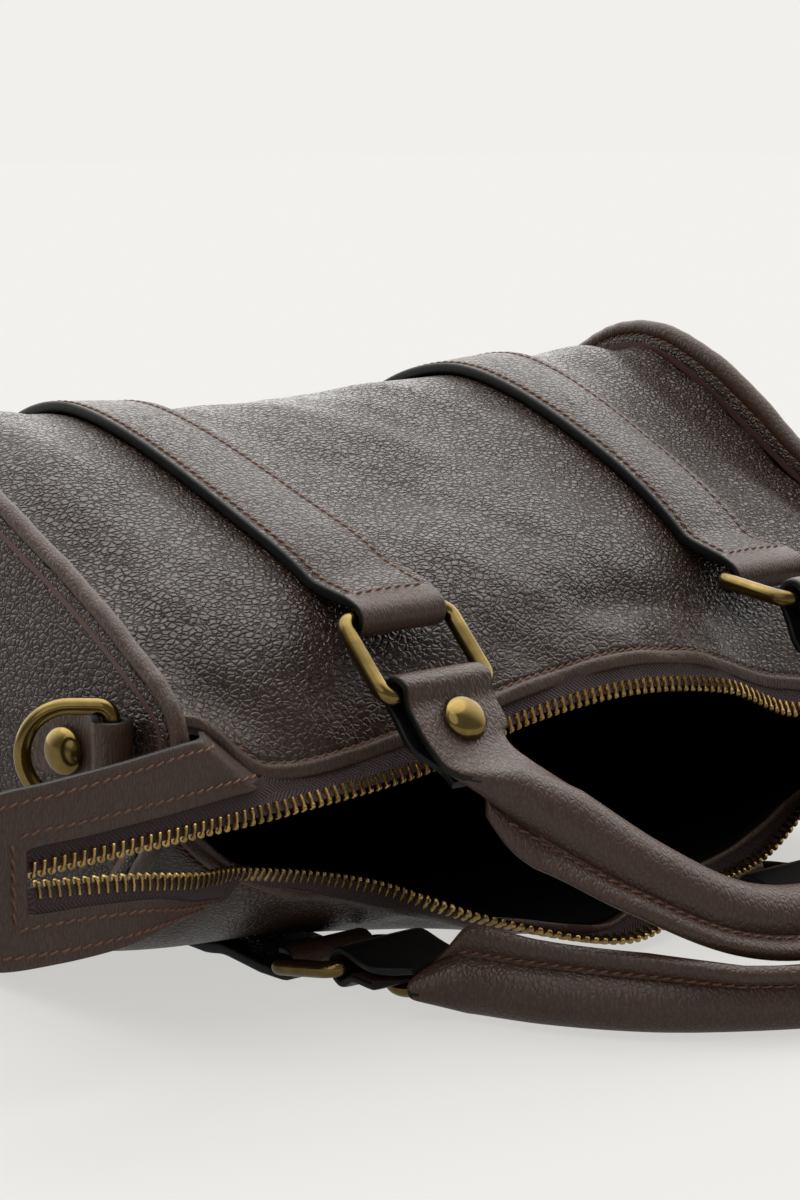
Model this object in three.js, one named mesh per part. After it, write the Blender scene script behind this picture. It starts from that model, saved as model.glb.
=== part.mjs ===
// Small leather cargo bag lying on its back with the zip open.
// Millimetres. X runs along the bag, +Y from the mouth to the base, +Z up out of the front panel.
import * as THREE from 'three';

// Driving dimensions
const seamX = 132;
const wall = 1.6;
const gap = 0.4;
const restHeight = 3.4;
const bindingWidth = 4.4;
const bindingHeight = 7;
const bindingTuck = 1;
const liningWall = 1;
const liningInset = 4.4;
const endBulge = 8;

const strapCentre = 63;
const strapWidth = 26;
const strapThickness = 3;
const foldLeather = 1.8;
const foldRadius = 3.7;

const ringWidth = 32;
const ringCorner = 3.5;
const ringWire = 4.2;

const rollRadius = 7.4;
const flangeReach = 5.6;
const flangeTip = 3.4;
const flangeStart = 0.8;
const tabThickness = 2.4;

const rivetRadius = 5.8;
const rivetHeight = 3.6;
const rivetDrop = 9.8;
const tabLift = 2;
const tabFold = 4;

const railWidth = 3.4;
const railThickness = 2.4;
const tapeThickness = 1;
const tabLeather = 2;

const dRingBarX = 140.2;
const dRingBarY = -66;
const dRingBarZ = 70;
const dRingWidth = 22;
const dRingDepth = 20;
const dRingWire = 3.8;
const dRingOpen = THREE.MathUtils.degToRad(48);
const chapeTilt = THREE.MathUtils.degToRad(9);
const chapeWidth = 16;
const chapeLength = 28;
const chapeDepth = 4;
const chapeRivet = 16;

// Cross sections of the body, outside of the leather, one row for each station along X.
// Columns, each [y, z], follow the leather from the front hem over the crown and the base to the back lip.
const sections = [
  {
    x: -132, hem: [-74, 77], brow: [-61, 87], front: [-26, 106], crown: [42, 131], corner: [77, 116],
    base: [88, 68], heel: [76, 15], sole: [22, 8.1], toe: [-42, 27], lip: [-71, 60],
  },
  {
    x: -122, hem: [-76.4, 75.6], brow: [-62, 87.4], front: [-26, 108], crown: [42, 131.6], corner: [79, 115],
    base: [90.4, 67], heel: [78, 11], sole: [20, 4.4], toe: [-42, 23], lip: [-68, 50],
  },
  {
    x: -106, hem: [-78.5, 62], brow: [-64, 88], front: [-27, 109], crown: [48, 131.6], corner: [82, 114],
    base: [92, 66], heel: [80, 8], sole: [20, 2], toe: [-40, 15], lip: [-65.6, 36.4],
  },
  {
    x: -63, hem: [-78, 64], brow: [-61, 93.5], front: [-24, 111], crown: [54, 129.4], corner: [86, 112.5],
    base: [93, 64], heel: [82, 6], sole: [14, 0], toe: [-26, 5.5], lip: [-60, 21.1],
  },
  {
    x: -30, hem: [-79, 70.5], brow: [-62.5, 93.5], front: [-24, 112], crown: [49, 130.4], corner: [85, 112.5],
    base: [93.7, 64], heel: [82.5, 6], sole: [12, 0], toe: [-34, 2.6], lip: [-62.3, 9.8],
  },
  {
    x: 0, hem: [-79, 74], brow: [-63, 93], front: [-24, 113], crown: [44, 131.5], corner: [85, 113],
    base: [94, 64], heel: [83, 6], sole: [10, 0], toe: [-46, 1], lip: [-73, 3.6],
  },
  {
    x: 30, hem: [-78.5, 71.5], brow: [-62, 91], front: [-23, 114], crown: [43, 133], corner: [84.5, 114],
    base: [93.7, 64], heel: [82.5, 6], sole: [12, 0], toe: [-36, 3.8], lip: [-69, 9],
  },
  {
    x: 63, hem: [-76, 60], brow: [-60, 87], front: [-22, 115], crown: [42, 134.5], corner: [84, 115],
    base: [93, 64], heel: [82, 6], sole: [14, 0], toe: [-33, 5.6], lip: [-65, 13.6],
  },
  {
    x: 106, hem: [-78, 57], brow: [-63, 83], front: [-25, 108], crown: [45, 139.6], corner: [81.4, 120],
    base: [92, 66], heel: [80, 8], sole: [20, 2], toe: [-40, 14], lip: [-61.6, 31.4],
  },
  {
    x: 122, hem: [-76, 74.2], brow: [-62, 83.4], front: [-25, 104], crown: [45, 138.4], corner: [79.4, 120.6],
    base: [90.4, 67], heel: [78, 11], sole: [20, 4.4], toe: [-42, 22], lip: [-67.6, 48],
  },
  {
    x: 132, hem: [-74, 76], brow: [-61, 84], front: [-26, 101], crown: [45, 137.6], corner: [78, 121],
    base: [88, 68], heel: [76, 15], sole: [22, 8.1], toe: [-42, 25], lip: [-71, 58],
  },
];
const sectionColumns = ['hem', 'brow', 'front', 'crown', 'corner', 'base', 'heel', 'sole', 'toe', 'lip'];
const lastPlace = sectionColumns.length - 1;
const seamApex = [-75, 69];

// Dents and folds in the body leather. place counts section columns from the hem, the spans are one sigma.
const dents = [
  { x: 98, place: 2.2, spanX: 16, spanPlace: 0.55, depth: 5 },
  { x: 30, place: 0.75, spanX: 26, spanPlace: 0.16, depth: 2.6 },
  { x: -24, place: 2.45, spanX: 22, spanPlace: 0.5, depth: 2.2 },
  { x: -112, place: 0.7, spanX: 11, spanPlace: 0.3, depth: 3 },
  { x: -121, place: 2.1, spanX: 6, spanPlace: 0.8, depth: 2.4 },
  { x: 121, place: 2.6, spanX: 6, spanPlace: 0.9, depth: 2.4 },
  { x: -96, place: 2.9, spanX: 14, spanPlace: 0.5, depth: -2.2 },
  { x: 10, place: 1.5, spanX: 20, spanPlace: 0.35, depth: -2 },
];

// Rows of the open zip, one for each station along X: the teeth of the front and of the back lip, [y, z].
const zipRows = [
  { x: -176, front: [-86.6, 54.3], back: [-86.6, 50.1] },
  { x: -150, front: [-86.4, 55], back: [-85.5, 47] },
  { x: -128, front: [-84.6, 55.2], back: [-79.5, 42.4] },
  { x: -106, front: [-82.6, 55.4], back: [-69, 38] },
  { x: -63, front: [-81.3, 58.4], back: [-62, 25.8] },
  { x: -30, front: [-81, 65.6], back: [-66.5, 12] },
  { x: 5, front: [-81, 68.2], back: [-80.4, 3.6] },
  { x: 40, front: [-80, 63.6], back: [-75.4, 10.4] },
  { x: 66, front: [-78.6, 53.8], back: [-71.4, 14.4] },
  { x: 106, front: [-82.4, 51.4], back: [-69, 38] },
  { x: 128, front: [-84.6, 54], back: [-79.5, 44] },
  { x: 150, front: [-86.4, 55], back: [-85.5, 48.4] },
  { x: 176, front: [-86.6, 54.3], back: [-86.6, 50.1] },
];
const zipStart = -176;
const hemReach = 106;
const notchStart = 122;

// Leather tab round the left end of the zip, from its upper arm to its lower: outer edge and slot's edge.
const tabRows = [
  { edge: [-123.2, -76.2, 74.9], slot: [-107.2, -78, 60.7] },
  { edge: [-129.4, -82.9, 75.2], slot: [-114, -80.9, 60.8] },
  { edge: [-137, -85, 75.2], slot: [-122, -82.8, 60.9] },
  { edge: [-151, -86, 74], slot: [-138, -85, 60.4] },
  { edge: [-170, -86.2, 72.6], slot: [-161, -86, 59.4] },
  { edge: [-186, -86, 71.4], slot: [-176.8, -86, 58.6] },
  { edge: [-193, -85.6, 67.6], slot: [-176.8, -86, 57.8] },
  { edge: [-196, -85.4, 60], slot: [-176.8, -86, 54] },
  { edge: [-196, -85.4, 45.6], slot: [-176.8, -86, 50.4] },
  { edge: [-193, -85.6, 38], slot: [-176.8, -86, 46.4] },
  { edge: [-186, -86, 34.4], slot: [-176.8, -86, 45.6] },
  { edge: [-170, -86, 33], slot: [-161, -85.6, 44.2] },
  { edge: [-151, -84.6, 33], slot: [-141, -82, 41.4] },
  { edge: [-137, -79.6, 33.4], slot: [-127, -75.4, 36.8] },
  { edge: [-123, -71.5, 32.6], slot: [-114, -67.6, 33.4] },
];

// Bars of the four rings, [y, z]: held is the bar in the strap's fold, free the bar in the handle's fold.
const ringBars = {
  front_left: { side: -1, held: [-70.5, 93.4], free: [-86.5, 77.6] },
  front_right: { side: 1, held: [-70, 89.6], free: [-92.3, 87.2] },
  back_left: { side: -1, held: [-44, 4.4], free: [-66.2, 8.7] },
  back_right: { side: 1, held: [-57.5, 4.4], free: [-79.9, 7.3] },
};

// Where the right binding stands higher; place counts section columns from the hem, the span is one sigma.
const rimSwell = { place: 2.5, span: 0.26, height: 3.2 };

// Handles. face is the outward side of the leather, which carries the rivets.
// flap is the free end behind the tab, [along, out] from the ring's bar.
// Each row is a point of the roll's centre line; round goes from flat tab 0 to full roll 1.
// lean turns the stitched flange away from the back of the face, in degrees.
const handles = {
  front: {
    face: [0, -0.73, 0.69],
    flap: [[22.5, -4.2], [13, -3.8], [5, -3.8], [0, -tabFold]],
    left: { ring: 'front_left', down: [-0.64, -0.768] },
    right: { ring: 'front_right', down: [-0.42, -0.907] },
    rows: [
      { x: -61.6, y: -100.4, z: 63.6, round: 0.3, lean: -50 },
      { x: -57.5, y: -105.4, z: 58.6, round: 0.8, lean: -54 },
      { x: -48, y: -113.6, z: 50, round: 1, lean: -60 },
      { x: -33, y: -126, z: 37, round: 1, lean: -88 },
      { x: -14, y: -135.4, z: 26.2, round: 1, lean: -99 },
      { x: 8, y: -139.6, z: 22.9, round: 1, lean: -106 },
      { x: 30, y: -137, z: 26, round: 1, lean: -100 },
      { x: 47, y: -128, z: 37, round: 1, lean: -88 },
      { x: 57.4, y: -116, z: 50, round: 1, lean: -60 },
      { x: 61.4, y: -108.4, z: 59.4, round: 0.8, lean: -54 },
      { x: 62.8, y: -103, z: 66.6, round: 0.3, lean: -50 },
    ],
  },
  back: {
    face: [0, 0, -1],
    flap: [[14, -1.7], [8, -2.4], [0, -tabFold]],
    left: { ring: 'back_left', down: [-1, 0] },
    right: { ring: 'back_right', down: [-1, 0] },
    rows: [
      { x: -62, y: -85.4, z: 7.6, round: 0.55, lean: 10 },
      { x: -58, y: -92.6, z: 7.9, round: 1, lean: 10 },
      { x: -50, y: -110, z: 7.9, round: 1, lean: 12 },
      { x: -36, y: -129, z: 7.9, round: 1, lean: 22 },
      { x: -20, y: -142, z: 7.9, round: 1, lean: 42 },
      { x: 0, y: -153, z: 7.9, round: 1, lean: 46 },
      { x: 22, y: -157, z: 7.9, round: 1, lean: 46 },
      { x: 42, y: -149, z: 7.9, round: 1, lean: 40 },
      { x: 56, y: -132, z: 7.9, round: 1, lean: 24 },
      { x: 61.6, y: -114, z: 7.9, round: 1, lean: 12 },
      { x: 63, y: -104, z: 7.7, round: 0.7, lean: 10 },
      { x: 63, y: -98, z: 7.3, round: 0.25, lean: 10 },
    ],
  },
};

// Mesh detail
const rowsPerSegment = 4;
const panelColumns = [1, 2, 2, 1, 1, 7, 1, 1, 2, 2, 1];
const liningColumns = [1, 1, 1, 1, 1, 4, 1, 1, 1, 1, 1];
const liningRowsPerSegment = 2;
const wireSides = 6;
const rollSides = 8;
const zipSteps = 36;
const handleSteps = 22;

// Finishes
const leatherFinish = new THREE.MeshStandardMaterial({ color: 0x3a2f2b, roughness: 0.5, metalness: 0 });
const bindingFinish = new THREE.MeshStandardMaterial({ color: 0x3d322e, roughness: 0.45, metalness: 0 });
const liningFinish = new THREE.MeshStandardMaterial({ color: 0x0c0b0b, roughness: 0.85, metalness: 0 });
const tapeFinish = new THREE.MeshStandardMaterial({ color: 0x2e1b1a, roughness: 0.8, metalness: 0 });
const brassFinish = new THREE.MeshStandardMaterial({ color: 0x9a7b3c, roughness: 0.3, metalness: 1 });
const toothFinish = new THREE.MeshStandardMaterial({ color: 0xc79a4e, roughness: 0.3, metalness: 1 });

const bag = new THREE.Group();

function addPiece(name, geometry, finish) {
  const mesh = new THREE.Mesh(geometry, finish);
  mesh.name = name;
  bag.add(mesh);
}

// Turns a list of points and triangles into a geometry whose faces point outwards.
function solidFrom(points, triangles) {
  let volume = 0;
  for (const [a, b, c] of triangles) {
    volume += points[a].dot(new THREE.Vector3().crossVectors(points[b], points[c]));
  }
  const index = triangles.flatMap(([a, b, c]) => (volume < 0 ? [a, c, b] : [a, b, c]));
  const geometry = new THREE.BufferGeometry().setFromPoints(points);
  geometry.setIndex(index);
  geometry.computeVertexNormals();
  return geometry;
}

// Closed wall between an outer and an inner grid of points, each grid[column][row].
function sheet(outer, inner) {
  const columns = outer.length;
  const rows = outer[0].length;
  const points = [...outer.flat(), ...inner.flat()];
  const triangles = [];
  const at = (side, i, j) => side * columns * rows + i * rows + j;
  const quad = (a, b, c, d) => triangles.push([a, b, c], [a, c, d]);
  for (let i = 0; i < columns - 1; i += 1) {
    for (let j = 0; j < rows - 1; j += 1) {
      quad(at(0, i, j), at(0, i + 1, j), at(0, i + 1, j + 1), at(0, i, j + 1));
      quad(at(1, i, j), at(1, i, j + 1), at(1, i + 1, j + 1), at(1, i + 1, j));
    }
  }
  for (let i = 0; i < columns - 1; i += 1) {
    quad(at(0, i, 0), at(1, i, 0), at(1, i + 1, 0), at(0, i + 1, 0));
    quad(at(0, i, rows - 1), at(0, i + 1, rows - 1), at(1, i + 1, rows - 1), at(1, i, rows - 1));
  }
  for (let j = 0; j < rows - 1; j += 1) {
    quad(at(0, 0, j), at(0, 0, j + 1), at(1, 0, j + 1), at(1, 0, j));
    quad(at(0, columns - 1, j), at(1, columns - 1, j), at(1, columns - 1, j + 1), at(0, columns - 1, j + 1));
  }
  return solidFrom(points, triangles);
}

// Skin over a row of rings of points; a closed row joins its end to its start, an open one gets flat ends.
function loft(rings, closed) {
  const sides = rings[0].length;
  const points = rings.flat();
  const triangles = [];
  const at = (k, i) => (k % rings.length) * sides + (i % sides);
  const spans = closed ? rings.length : rings.length - 1;
  for (let k = 0; k < spans; k += 1) {
    for (let i = 0; i < sides; i += 1) {
      triangles.push([at(k, i), at(k, i + 1), at(k + 1, i + 1)], [at(k, i), at(k + 1, i + 1), at(k + 1, i)]);
    }
  }
  if (!closed) {
    for (let i = 1; i < sides - 1; i += 1) {
      triangles.push([at(0, 0), at(0, i + 1), at(0, i)]);
      triangles.push([at(rings.length - 1, 0), at(rings.length - 1, i), at(rings.length - 1, i + 1)]);
    }
  }
  return solidFrom(points, triangles);
}

// Value of one [y, z] column at a place along X, on a cubic through the table's rows.
function columnAt(rows, column, x) {
  const last = rows.length - 1;
  let k = rows.findIndex((row) => row.x > x) - 1;
  k = k < 0 ? (x <= rows[0].x ? 0 : last - 1) : k;
  const slope = (i, axis) => {
    const before = rows[Math.max(i - 1, 0)];
    const after = rows[Math.min(i + 1, last)];
    return (after[column][axis] - before[column][axis]) / (after.x - before.x);
  };
  const span = rows[k + 1].x - rows[k].x;
  const t = (x - rows[k].x) / span;
  return [0, 1].map((axis) => {
    const from = rows[k][column][axis];
    const to = rows[k + 1][column][axis];
    return from * (1 + 2 * t) * (1 - t) ** 2 + to * t * t * (3 - 2 * t)
      + slope(k, axis) * span * t * (1 - t) ** 2 - slope(k + 1, axis) * span * t * t * (1 - t);
  });
}

const sectionCache = new Map();

function sectionCurve(x) {
  if (!sectionCache.has(x)) {
    const keys = sectionColumns.map((column) => new THREE.Vector3(x, ...columnAt(sections, column, x)));
    sectionCache.set(x, new THREE.CatmullRomCurve3(keys, false, 'centripetal'));
  }
  return sectionCache.get(x);
}

// Undented outside of the body at a place along X and round the section, flattened where it rests.
function bodyPoint(x, place) {
  const point = sectionCurve(x).getPoint(place / lastPlace);
  point.z = Math.max(point.z, restHeight);
  return point;
}

function normalOf(surface, x, place) {
  const stepX = 0.5;
  const stepPlace = 0.01;
  const low = Math.max(place - stepPlace, 0);
  const high = Math.min(place + stepPlace, lastPlace);
  const left = Math.max(x - stepX, -seamX);
  const right = Math.min(x + stepX, seamX);
  const along = surface(right, place).sub(surface(left, place));
  const round = surface(x, high).sub(surface(x, low));
  return along.cross(round).normalize();
}

// Outside of the body with its dents, moved out by lift along its normal.
function skinPoint(x, place, lift = 0) {
  let depth = 0;
  for (const dent of dents) {
    const across = (x - dent.x) / dent.spanX;
    const round = (place - dent.place) / dent.spanPlace;
    depth += dent.depth * Math.exp(-0.5 * (across * across + round * round));
  }
  return bodyPoint(x, place).addScaledVector(normalOf(bodyPoint, x, place), lift - depth);
}

// Stations along X between the body's ends, with one on each strap's edges and centre and each hem corner.
function stationsAlong(end, divisions) {
  const inner = strapCentre - strapWidth / 2;
  const outer = strapCentre + strapWidth / 2;
  const half = [inner, strapCentre, outer, hemReach, notchStart, end];
  const marks = [...half.map((x) => -x).reverse(), ...half];
  const stations = [];
  divisions.forEach((count, k) => {
    for (let i = 0; i < count; i += 1) {
      stations.push(marks[k] + (marks[k + 1] - marks[k]) * i / count);
    }
  });
  return [...stations, end];
}

function placesBetween(from, to, perSegment) {
  const count = Math.round((to - from) * perSegment);
  return Array.from({ length: count + 1 }, (_, i) => from + (to - from) * i / count);
}

// Body wrap and the lining inside it
function buildBody() {
  const panelEnd = seamX - bindingWidth / 2 - gap;
  const stations = stationsAlong(panelEnd, panelColumns);
  const places = placesBetween(0, lastPlace, rowsPerSegment);
  const outer = stations.map((x) => places.map((place) => skinPoint(x, place)));
  const inner = stations.map((x) => places.map((place) => skinPoint(x, place, -wall)));
  addPiece('main_panel', sheet(outer, inner), leatherFinish);

  const liningStations = stationsAlong(panelEnd - gap, liningColumns);
  const liningPlaces = placesBetween(0.5, lastPlace - 0.5, liningRowsPerSegment);
  const face = liningStations.map((x) => liningPlaces.map((place) => skinPoint(x, place, -liningInset)));
  const reverse = liningStations.map(
    (x) => liningPlaces.map((place) => skinPoint(x, place, -liningInset - liningWall)),
  );
  addPiece('lining', sheet(face, reverse), liningFinish);
}

// Closed outline of an end seam with the outward direction at each point
function seamLoop(side) {
  const x = side * seamX;
  const keys = sectionColumns.map((column) => new THREE.Vector3(x, ...columnAt(sections, column, x)));
  keys.push(new THREE.Vector3(x, ...seamApex));
  const curve = new THREE.CatmullRomCurve3(keys, true, 'centripetal');
  const count = keys.length * rowsPerSegment;
  return Array.from({ length: count }, (_, i) => {
    const point = curve.getPoint(i / count);
    const tangent = curve.getTangent(i / count);
    return { point, out: new THREE.Vector3(0, -tangent.z, tangent.y) };
  });
}

function buildEnd(side, name) {
  const loop = seamLoop(side);
  const half = bindingWidth / 2;
  const chamfer = 1;
  const rings = loop.map(({ point, out }, i) => {
    const away = (i / rowsPerSegment - rimSwell.place) / rimSwell.span;
    const height = bindingHeight + (side > 0 ? rimSwell.height * Math.exp(-0.5 * away * away) : 0);
    const profile = [
      [-half, -bindingTuck], [-half, height - chamfer], [0, height],
      [half, height - chamfer], [half, -bindingTuck],
    ];
    return profile.map(
      ([across, rise]) => point.clone().addScaledVector(out, rise).setX(side * seamX + across),
    );
  });
  addPiece(`edge_binding_${name}`, loft(rings, true), bindingFinish);

  const rim = loop.map(({ point, out }) => point.clone().addScaledVector(out, -bindingTuck - gap));
  const centre = new THREE.Vector3(side * seamX, 8, 69);
  const shares = [1, 0.82, 0.5];
  const bulged = (point, share, lift) => centre.clone().lerp(point, share)
    .setX(side * (seamX + endBulge * (1 - share * share) + lift));
  const points = [];
  const triangles = [];
  const count = rim.length;
  for (const lift of [wall / 2, -wall / 2]) {
    for (const share of shares) {
      rim.forEach((point) => points.push(bulged(point, share, lift)));
    }
    points.push(bulged(centre, 0, lift));
  }
  const layer = shares.length * count + 1;
  for (let i = 0; i < count; i += 1) {
    const next = (i + 1) % count;
    for (let s = 0; s < shares.length - 1; s += 1) {
      const a = s * count + i;
      const b = s * count + next;
      triangles.push([a, b, b + count], [a, b + count, a + count]);
      triangles.push(
        [layer + a, layer + b + count, layer + b],
        [layer + a, layer + a + count, layer + b + count],
      );
    }
    const inner = (shares.length - 1) * count;
    triangles.push([inner + i, inner + next, layer - 1]);
    triangles.push([layer + inner + i, 2 * layer - 1, layer + inner + next]);
    triangles.push([i, layer + i, layer + next], [i, layer + next, next]);
  }
  addPiece(`end_panel_${name}`, solidFrom(points, triangles), leatherFinish);
}

// Arc of a leather fold round a ring's bar, [u, v] points from the side of lift, over forward, to the far side.
function foldArc(bar, forward, lift, angles, radius = foldRadius) {
  return angles.map((degrees) => {
    const angle = THREE.MathUtils.degToRad(degrees);
    return [0, 1].map(
      (axis) => bar[axis] + radius * (forward[axis] * Math.cos(angle) + lift[axis] * Math.sin(angle)),
    );
  });
}

function unit(vector) {
  const length = Math.hypot(...vector);
  return vector.map((value) => value / length);
}

// Both faces of a strip whose middle follows [u, v] points, half a thickness either side.
function stripFaces(path, thicknesses) {
  return [1, -1].map((side) => path.map((point, i) => {
    const before = path[Math.max(i - 1, 0)];
    const after = path[Math.min(i + 1, path.length - 1)];
    const along = unit([after[0] - before[0], after[1] - before[1]]);
    const shift = side * thicknesses[i] / 2;
    return [point[0] - along[1] * shift, point[1] + along[0] * shift];
  }));
}

// Strap laid on the body, folded round a ring at each end
function buildStrap(side, name) {
  const frontPlace = 1.25;
  const backPlace = 7.75;
  const angles = [80, 40, 0, -40, -80, -120];
  const places = placesBetween(frontPlace, backPlace, rowsPerSegment);
  const columns = [-strapWidth / 2, 0, strapWidth / 2].map((across) => side * strapCentre + across);
  const hook = (ring, start, toward) => {
    const forward = unit([ring.held[0] - start[0], ring.held[1] - start[1]]);
    return foldArc(ring.held, forward, [-forward[1] * toward, forward[0] * toward], angles);
  };
  const faces = columns.map((x) => {
    const laid = places.map((place) => {
      const point = skinPoint(x, place, gap + strapThickness / 2);
      return [point.y, point.z];
    });
    const frontHook = hook(ringBars[`front_${name}`], laid[0], -1);
    const backHook = hook(ringBars[`back_${name}`], laid[laid.length - 1], 1);
    const path = [...frontHook.reverse(), ...laid, ...backHook];
    const thicknesses = path.map(
      (_, i) => (i < angles.length || i >= path.length - angles.length ? foldLeather : strapThickness),
    );
    const resting = ([y, z]) => new THREE.Vector3(x, y, Math.max(z, 0));
    return stripFaces(path, thicknesses).map((row) => row.map(resting));
  });
  const uppers = faces.map(([upper]) => upper);
  const lowers = faces.map(([, lower]) => lower);
  addPiece(`strap_${name}`, sheet(uppers, lowers), leatherFinish);
}

// Wire bent to a closed flat path; the path's normal is the same all round.
function wireRing(path, normal, radius) {
  const rings = path.map((point, i) => {
    const before = path[(i + path.length - 1) % path.length];
    const after = path[(i + 1) % path.length];
    const along = after.clone().sub(before).normalize();
    const across = new THREE.Vector3().crossVectors(normal, along);
    return Array.from({ length: wireSides }, (_, k) => {
      const angle = 2 * Math.PI * k / wireSides;
      return point.clone()
        .addScaledVector(across, radius * Math.cos(angle))
        .addScaledVector(normal, radius * Math.sin(angle));
    });
  });
  return loft(rings, true);
}

// Rounded rectangle ring between the strap's fold and the handle's fold
function buildRing(name, { side, held, free }) {
  const down = new THREE.Vector3(0, free[0] - held[0], free[1] - held[1]);
  const length = down.length();
  down.normalize();
  const across = new THREE.Vector3(1, 0, 0);
  const corners = [[1, 0, 0], [1, 1, 90], [-1, 1, 180], [-1, 0, 270]];
  const path = [];
  for (const [sideways, far, start] of corners) {
    for (const step of [-90, -45, 0]) {
      const angle = THREE.MathUtils.degToRad(start + step);
      const centreX = sideways * (ringWidth / 2 - ringCorner);
      const centreDown = far ? length - ringCorner : ringCorner;
      path.push(new THREE.Vector3(side * strapCentre, ...held)
        .addScaledVector(across, centreX + ringCorner * Math.cos(angle))
        .addScaledVector(down, centreDown + ringCorner * Math.sin(angle)));
    }
  }
  const normal = new THREE.Vector3().crossVectors(across, down);
  addPiece(`ring_${name}`, wireRing(path, normal, ringWire / 2), brassFinish);
}

// Handle section in its own [side, face] plane: a flat tab that turns into a roll with a flange behind it
function handleProfile(round, lean) {
  const flatPower = 0.35;
  const firstAngle = -90 + 180 / rollSides;
  const turn = THREE.MathUtils.degToRad(lean);
  const growth = THREE.MathUtils.smoothstep(round, flangeStart, 1);
  const signedPower = (value, power) => Math.sign(value) * Math.abs(value) ** power;
  const turned = ([u, v]) => [
    u * Math.cos(turn) - v * Math.sin(turn),
    u * Math.sin(turn) + v * Math.cos(turn),
  ];
  const blend = (from, to, share) => from.map((value, axis) => value + (to[axis] - value) * share);
  const profile = [];
  for (let i = 0; i < rollSides; i += 1) {
    const angle = THREE.MathUtils.degToRad(firstAngle + 360 * i / rollSides);
    const flat = [
      strapWidth / 2 * signedPower(Math.cos(angle), flatPower),
      tabThickness / 2 * signedPower(Math.sin(angle), flatPower),
    ];
    profile.push(blend(flat, turned([rollRadius * Math.cos(angle), rollRadius * Math.sin(angle)]), round));
  }
  for (const sideways of [-1, 1]) {
    const flat = [2 * sideways, -tabThickness / 2];
    const foot = turned([sideways * flangeTip / 2, -rollRadius]);
    const tip = turned([sideways * flangeTip / 2, -rollRadius - flangeReach]);
    profile.push(blend(blend(flat, foot, round), tip, growth));
  }
  return profile;
}

// Fold of a handle over the ring: from the flap behind, over the bar, to the tab in front, as [y, z] points
function handleFold({ ring, down }, flapRows, outward) {
  const bar = ringBars[ring].free;
  const place = (along, out) => [0, 1].map((axis) => bar[axis] + down[axis] * along + outward[axis] * out);
  const flap = flapRows.map(([along, out]) => place(along, out));
  const back = [-down[0], -down[1]];
  const over = foldArc(bar, back, outward, [-45, 0, 45], tabFold);
  const tab = [[0, tabFold], [3.6, tabLift], [16.2, tabLift]].map(([along, out]) => place(along, out));
  return { path: [...flap, ...over, ...tab], rivet: place(rivetDrop, tabLift + tabThickness / 2 + gap) };
}

function addRivet(name, position, direction) {
  const profile = [
    [0, 0], [rivetRadius, 0], [rivetRadius, 0.7], [rivetRadius * 0.84, rivetHeight * 0.62],
    [rivetRadius * 0.46, rivetHeight * 0.92], [0, rivetHeight],
  ];
  const dome = new THREE.LatheGeometry(profile.map(([r, h]) => new THREE.Vector2(r, h)), 10);
  const turn = new THREE.Quaternion().setFromUnitVectors(new THREE.Vector3(0, 1, 0), direction);
  dome.applyQuaternion(turn);
  dome.translate(position.x, position.y, position.z);
  addPiece(name, dome, brassFinish);
}

function buildHandle(name, { face, flap, left, right, rows }) {
  const outward = [face[1], face[2]];
  const folds = [left, right].map((end) => {
    const square = unit([-end.down[1], end.down[0]]);
    const sign = Math.sign(square[0] * outward[0] + square[1] * outward[1]);
    const out = square.map((value) => value * sign);
    return { ...handleFold(end, flap, out), out };
  });
  const rings = [];
  const addRing = (point, along, sideways, round, lean) => {
    const normal = new THREE.Vector3().crossVectors(along, sideways).normalize();
    rings.push(handleProfile(round, lean).map(
      ([u, v]) => point.clone().addScaledVector(sideways, u).addScaledVector(normal, v),
    ));
  };
  const addFold = (path, x, sideways) => path.forEach((point, i) => {
    const before = path[Math.max(i - 1, 0)];
    const after = path[Math.min(i + 1, path.length - 1)];
    const along = new THREE.Vector3(0, after[0] - before[0], after[1] - before[1]).normalize();
    addRing(new THREE.Vector3(x, ...point), along, sideways, 0, 0);
  });
  addFold(folds[0].path, -strapCentre, new THREE.Vector3(1, 0, 0));

  const leftEnd = folds[0].path[folds[0].path.length - 1];
  const rightEnd = folds[1].path[folds[1].path.length - 1];
  const keys = [
    new THREE.Vector3(-strapCentre, ...leftEnd),
    ...rows.map((row) => new THREE.Vector3(row.x, row.y, row.z)),
    new THREE.Vector3(strapCentre, ...rightEnd),
  ];
  const shapes = [{ ...rows[0], round: 0 }, ...rows, { ...rows[rows.length - 1], round: 0 }];
  const curve = new THREE.CatmullRomCurve3(keys, false, 'centripetal');
  const faceNormal = new THREE.Vector3(...face).normalize();
  for (let i = 1; i < handleSteps; i += 1) {
    const t = i / handleSteps;
    const slot = Math.min(Math.floor(t * (keys.length - 1)), keys.length - 2);
    const share = t * (keys.length - 1) - slot;
    const between = (column) => THREE.MathUtils.lerp(shapes[slot][column], shapes[slot + 1][column], share);
    const along = curve.getTangent(t);
    const sideways = new THREE.Vector3().crossVectors(faceNormal, along).normalize();
    addRing(curve.getPoint(t), along, sideways, between('round'), between('lean'));
  }
  addFold([...folds[1].path].reverse(), strapCentre, new THREE.Vector3(-1, 0, 0));
  addPiece(`handle_${name}`, loft(rings, false), leatherFinish);
  folds.forEach(({ rivet, out }, k) => {
    const position = new THREE.Vector3((k ? 1 : -1) * strapCentre, ...rivet);
    addRivet(`rivet_${name}_${k ? 'right' : 'left'}`, position, new THREE.Vector3(0, ...out));
  });
}

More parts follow.
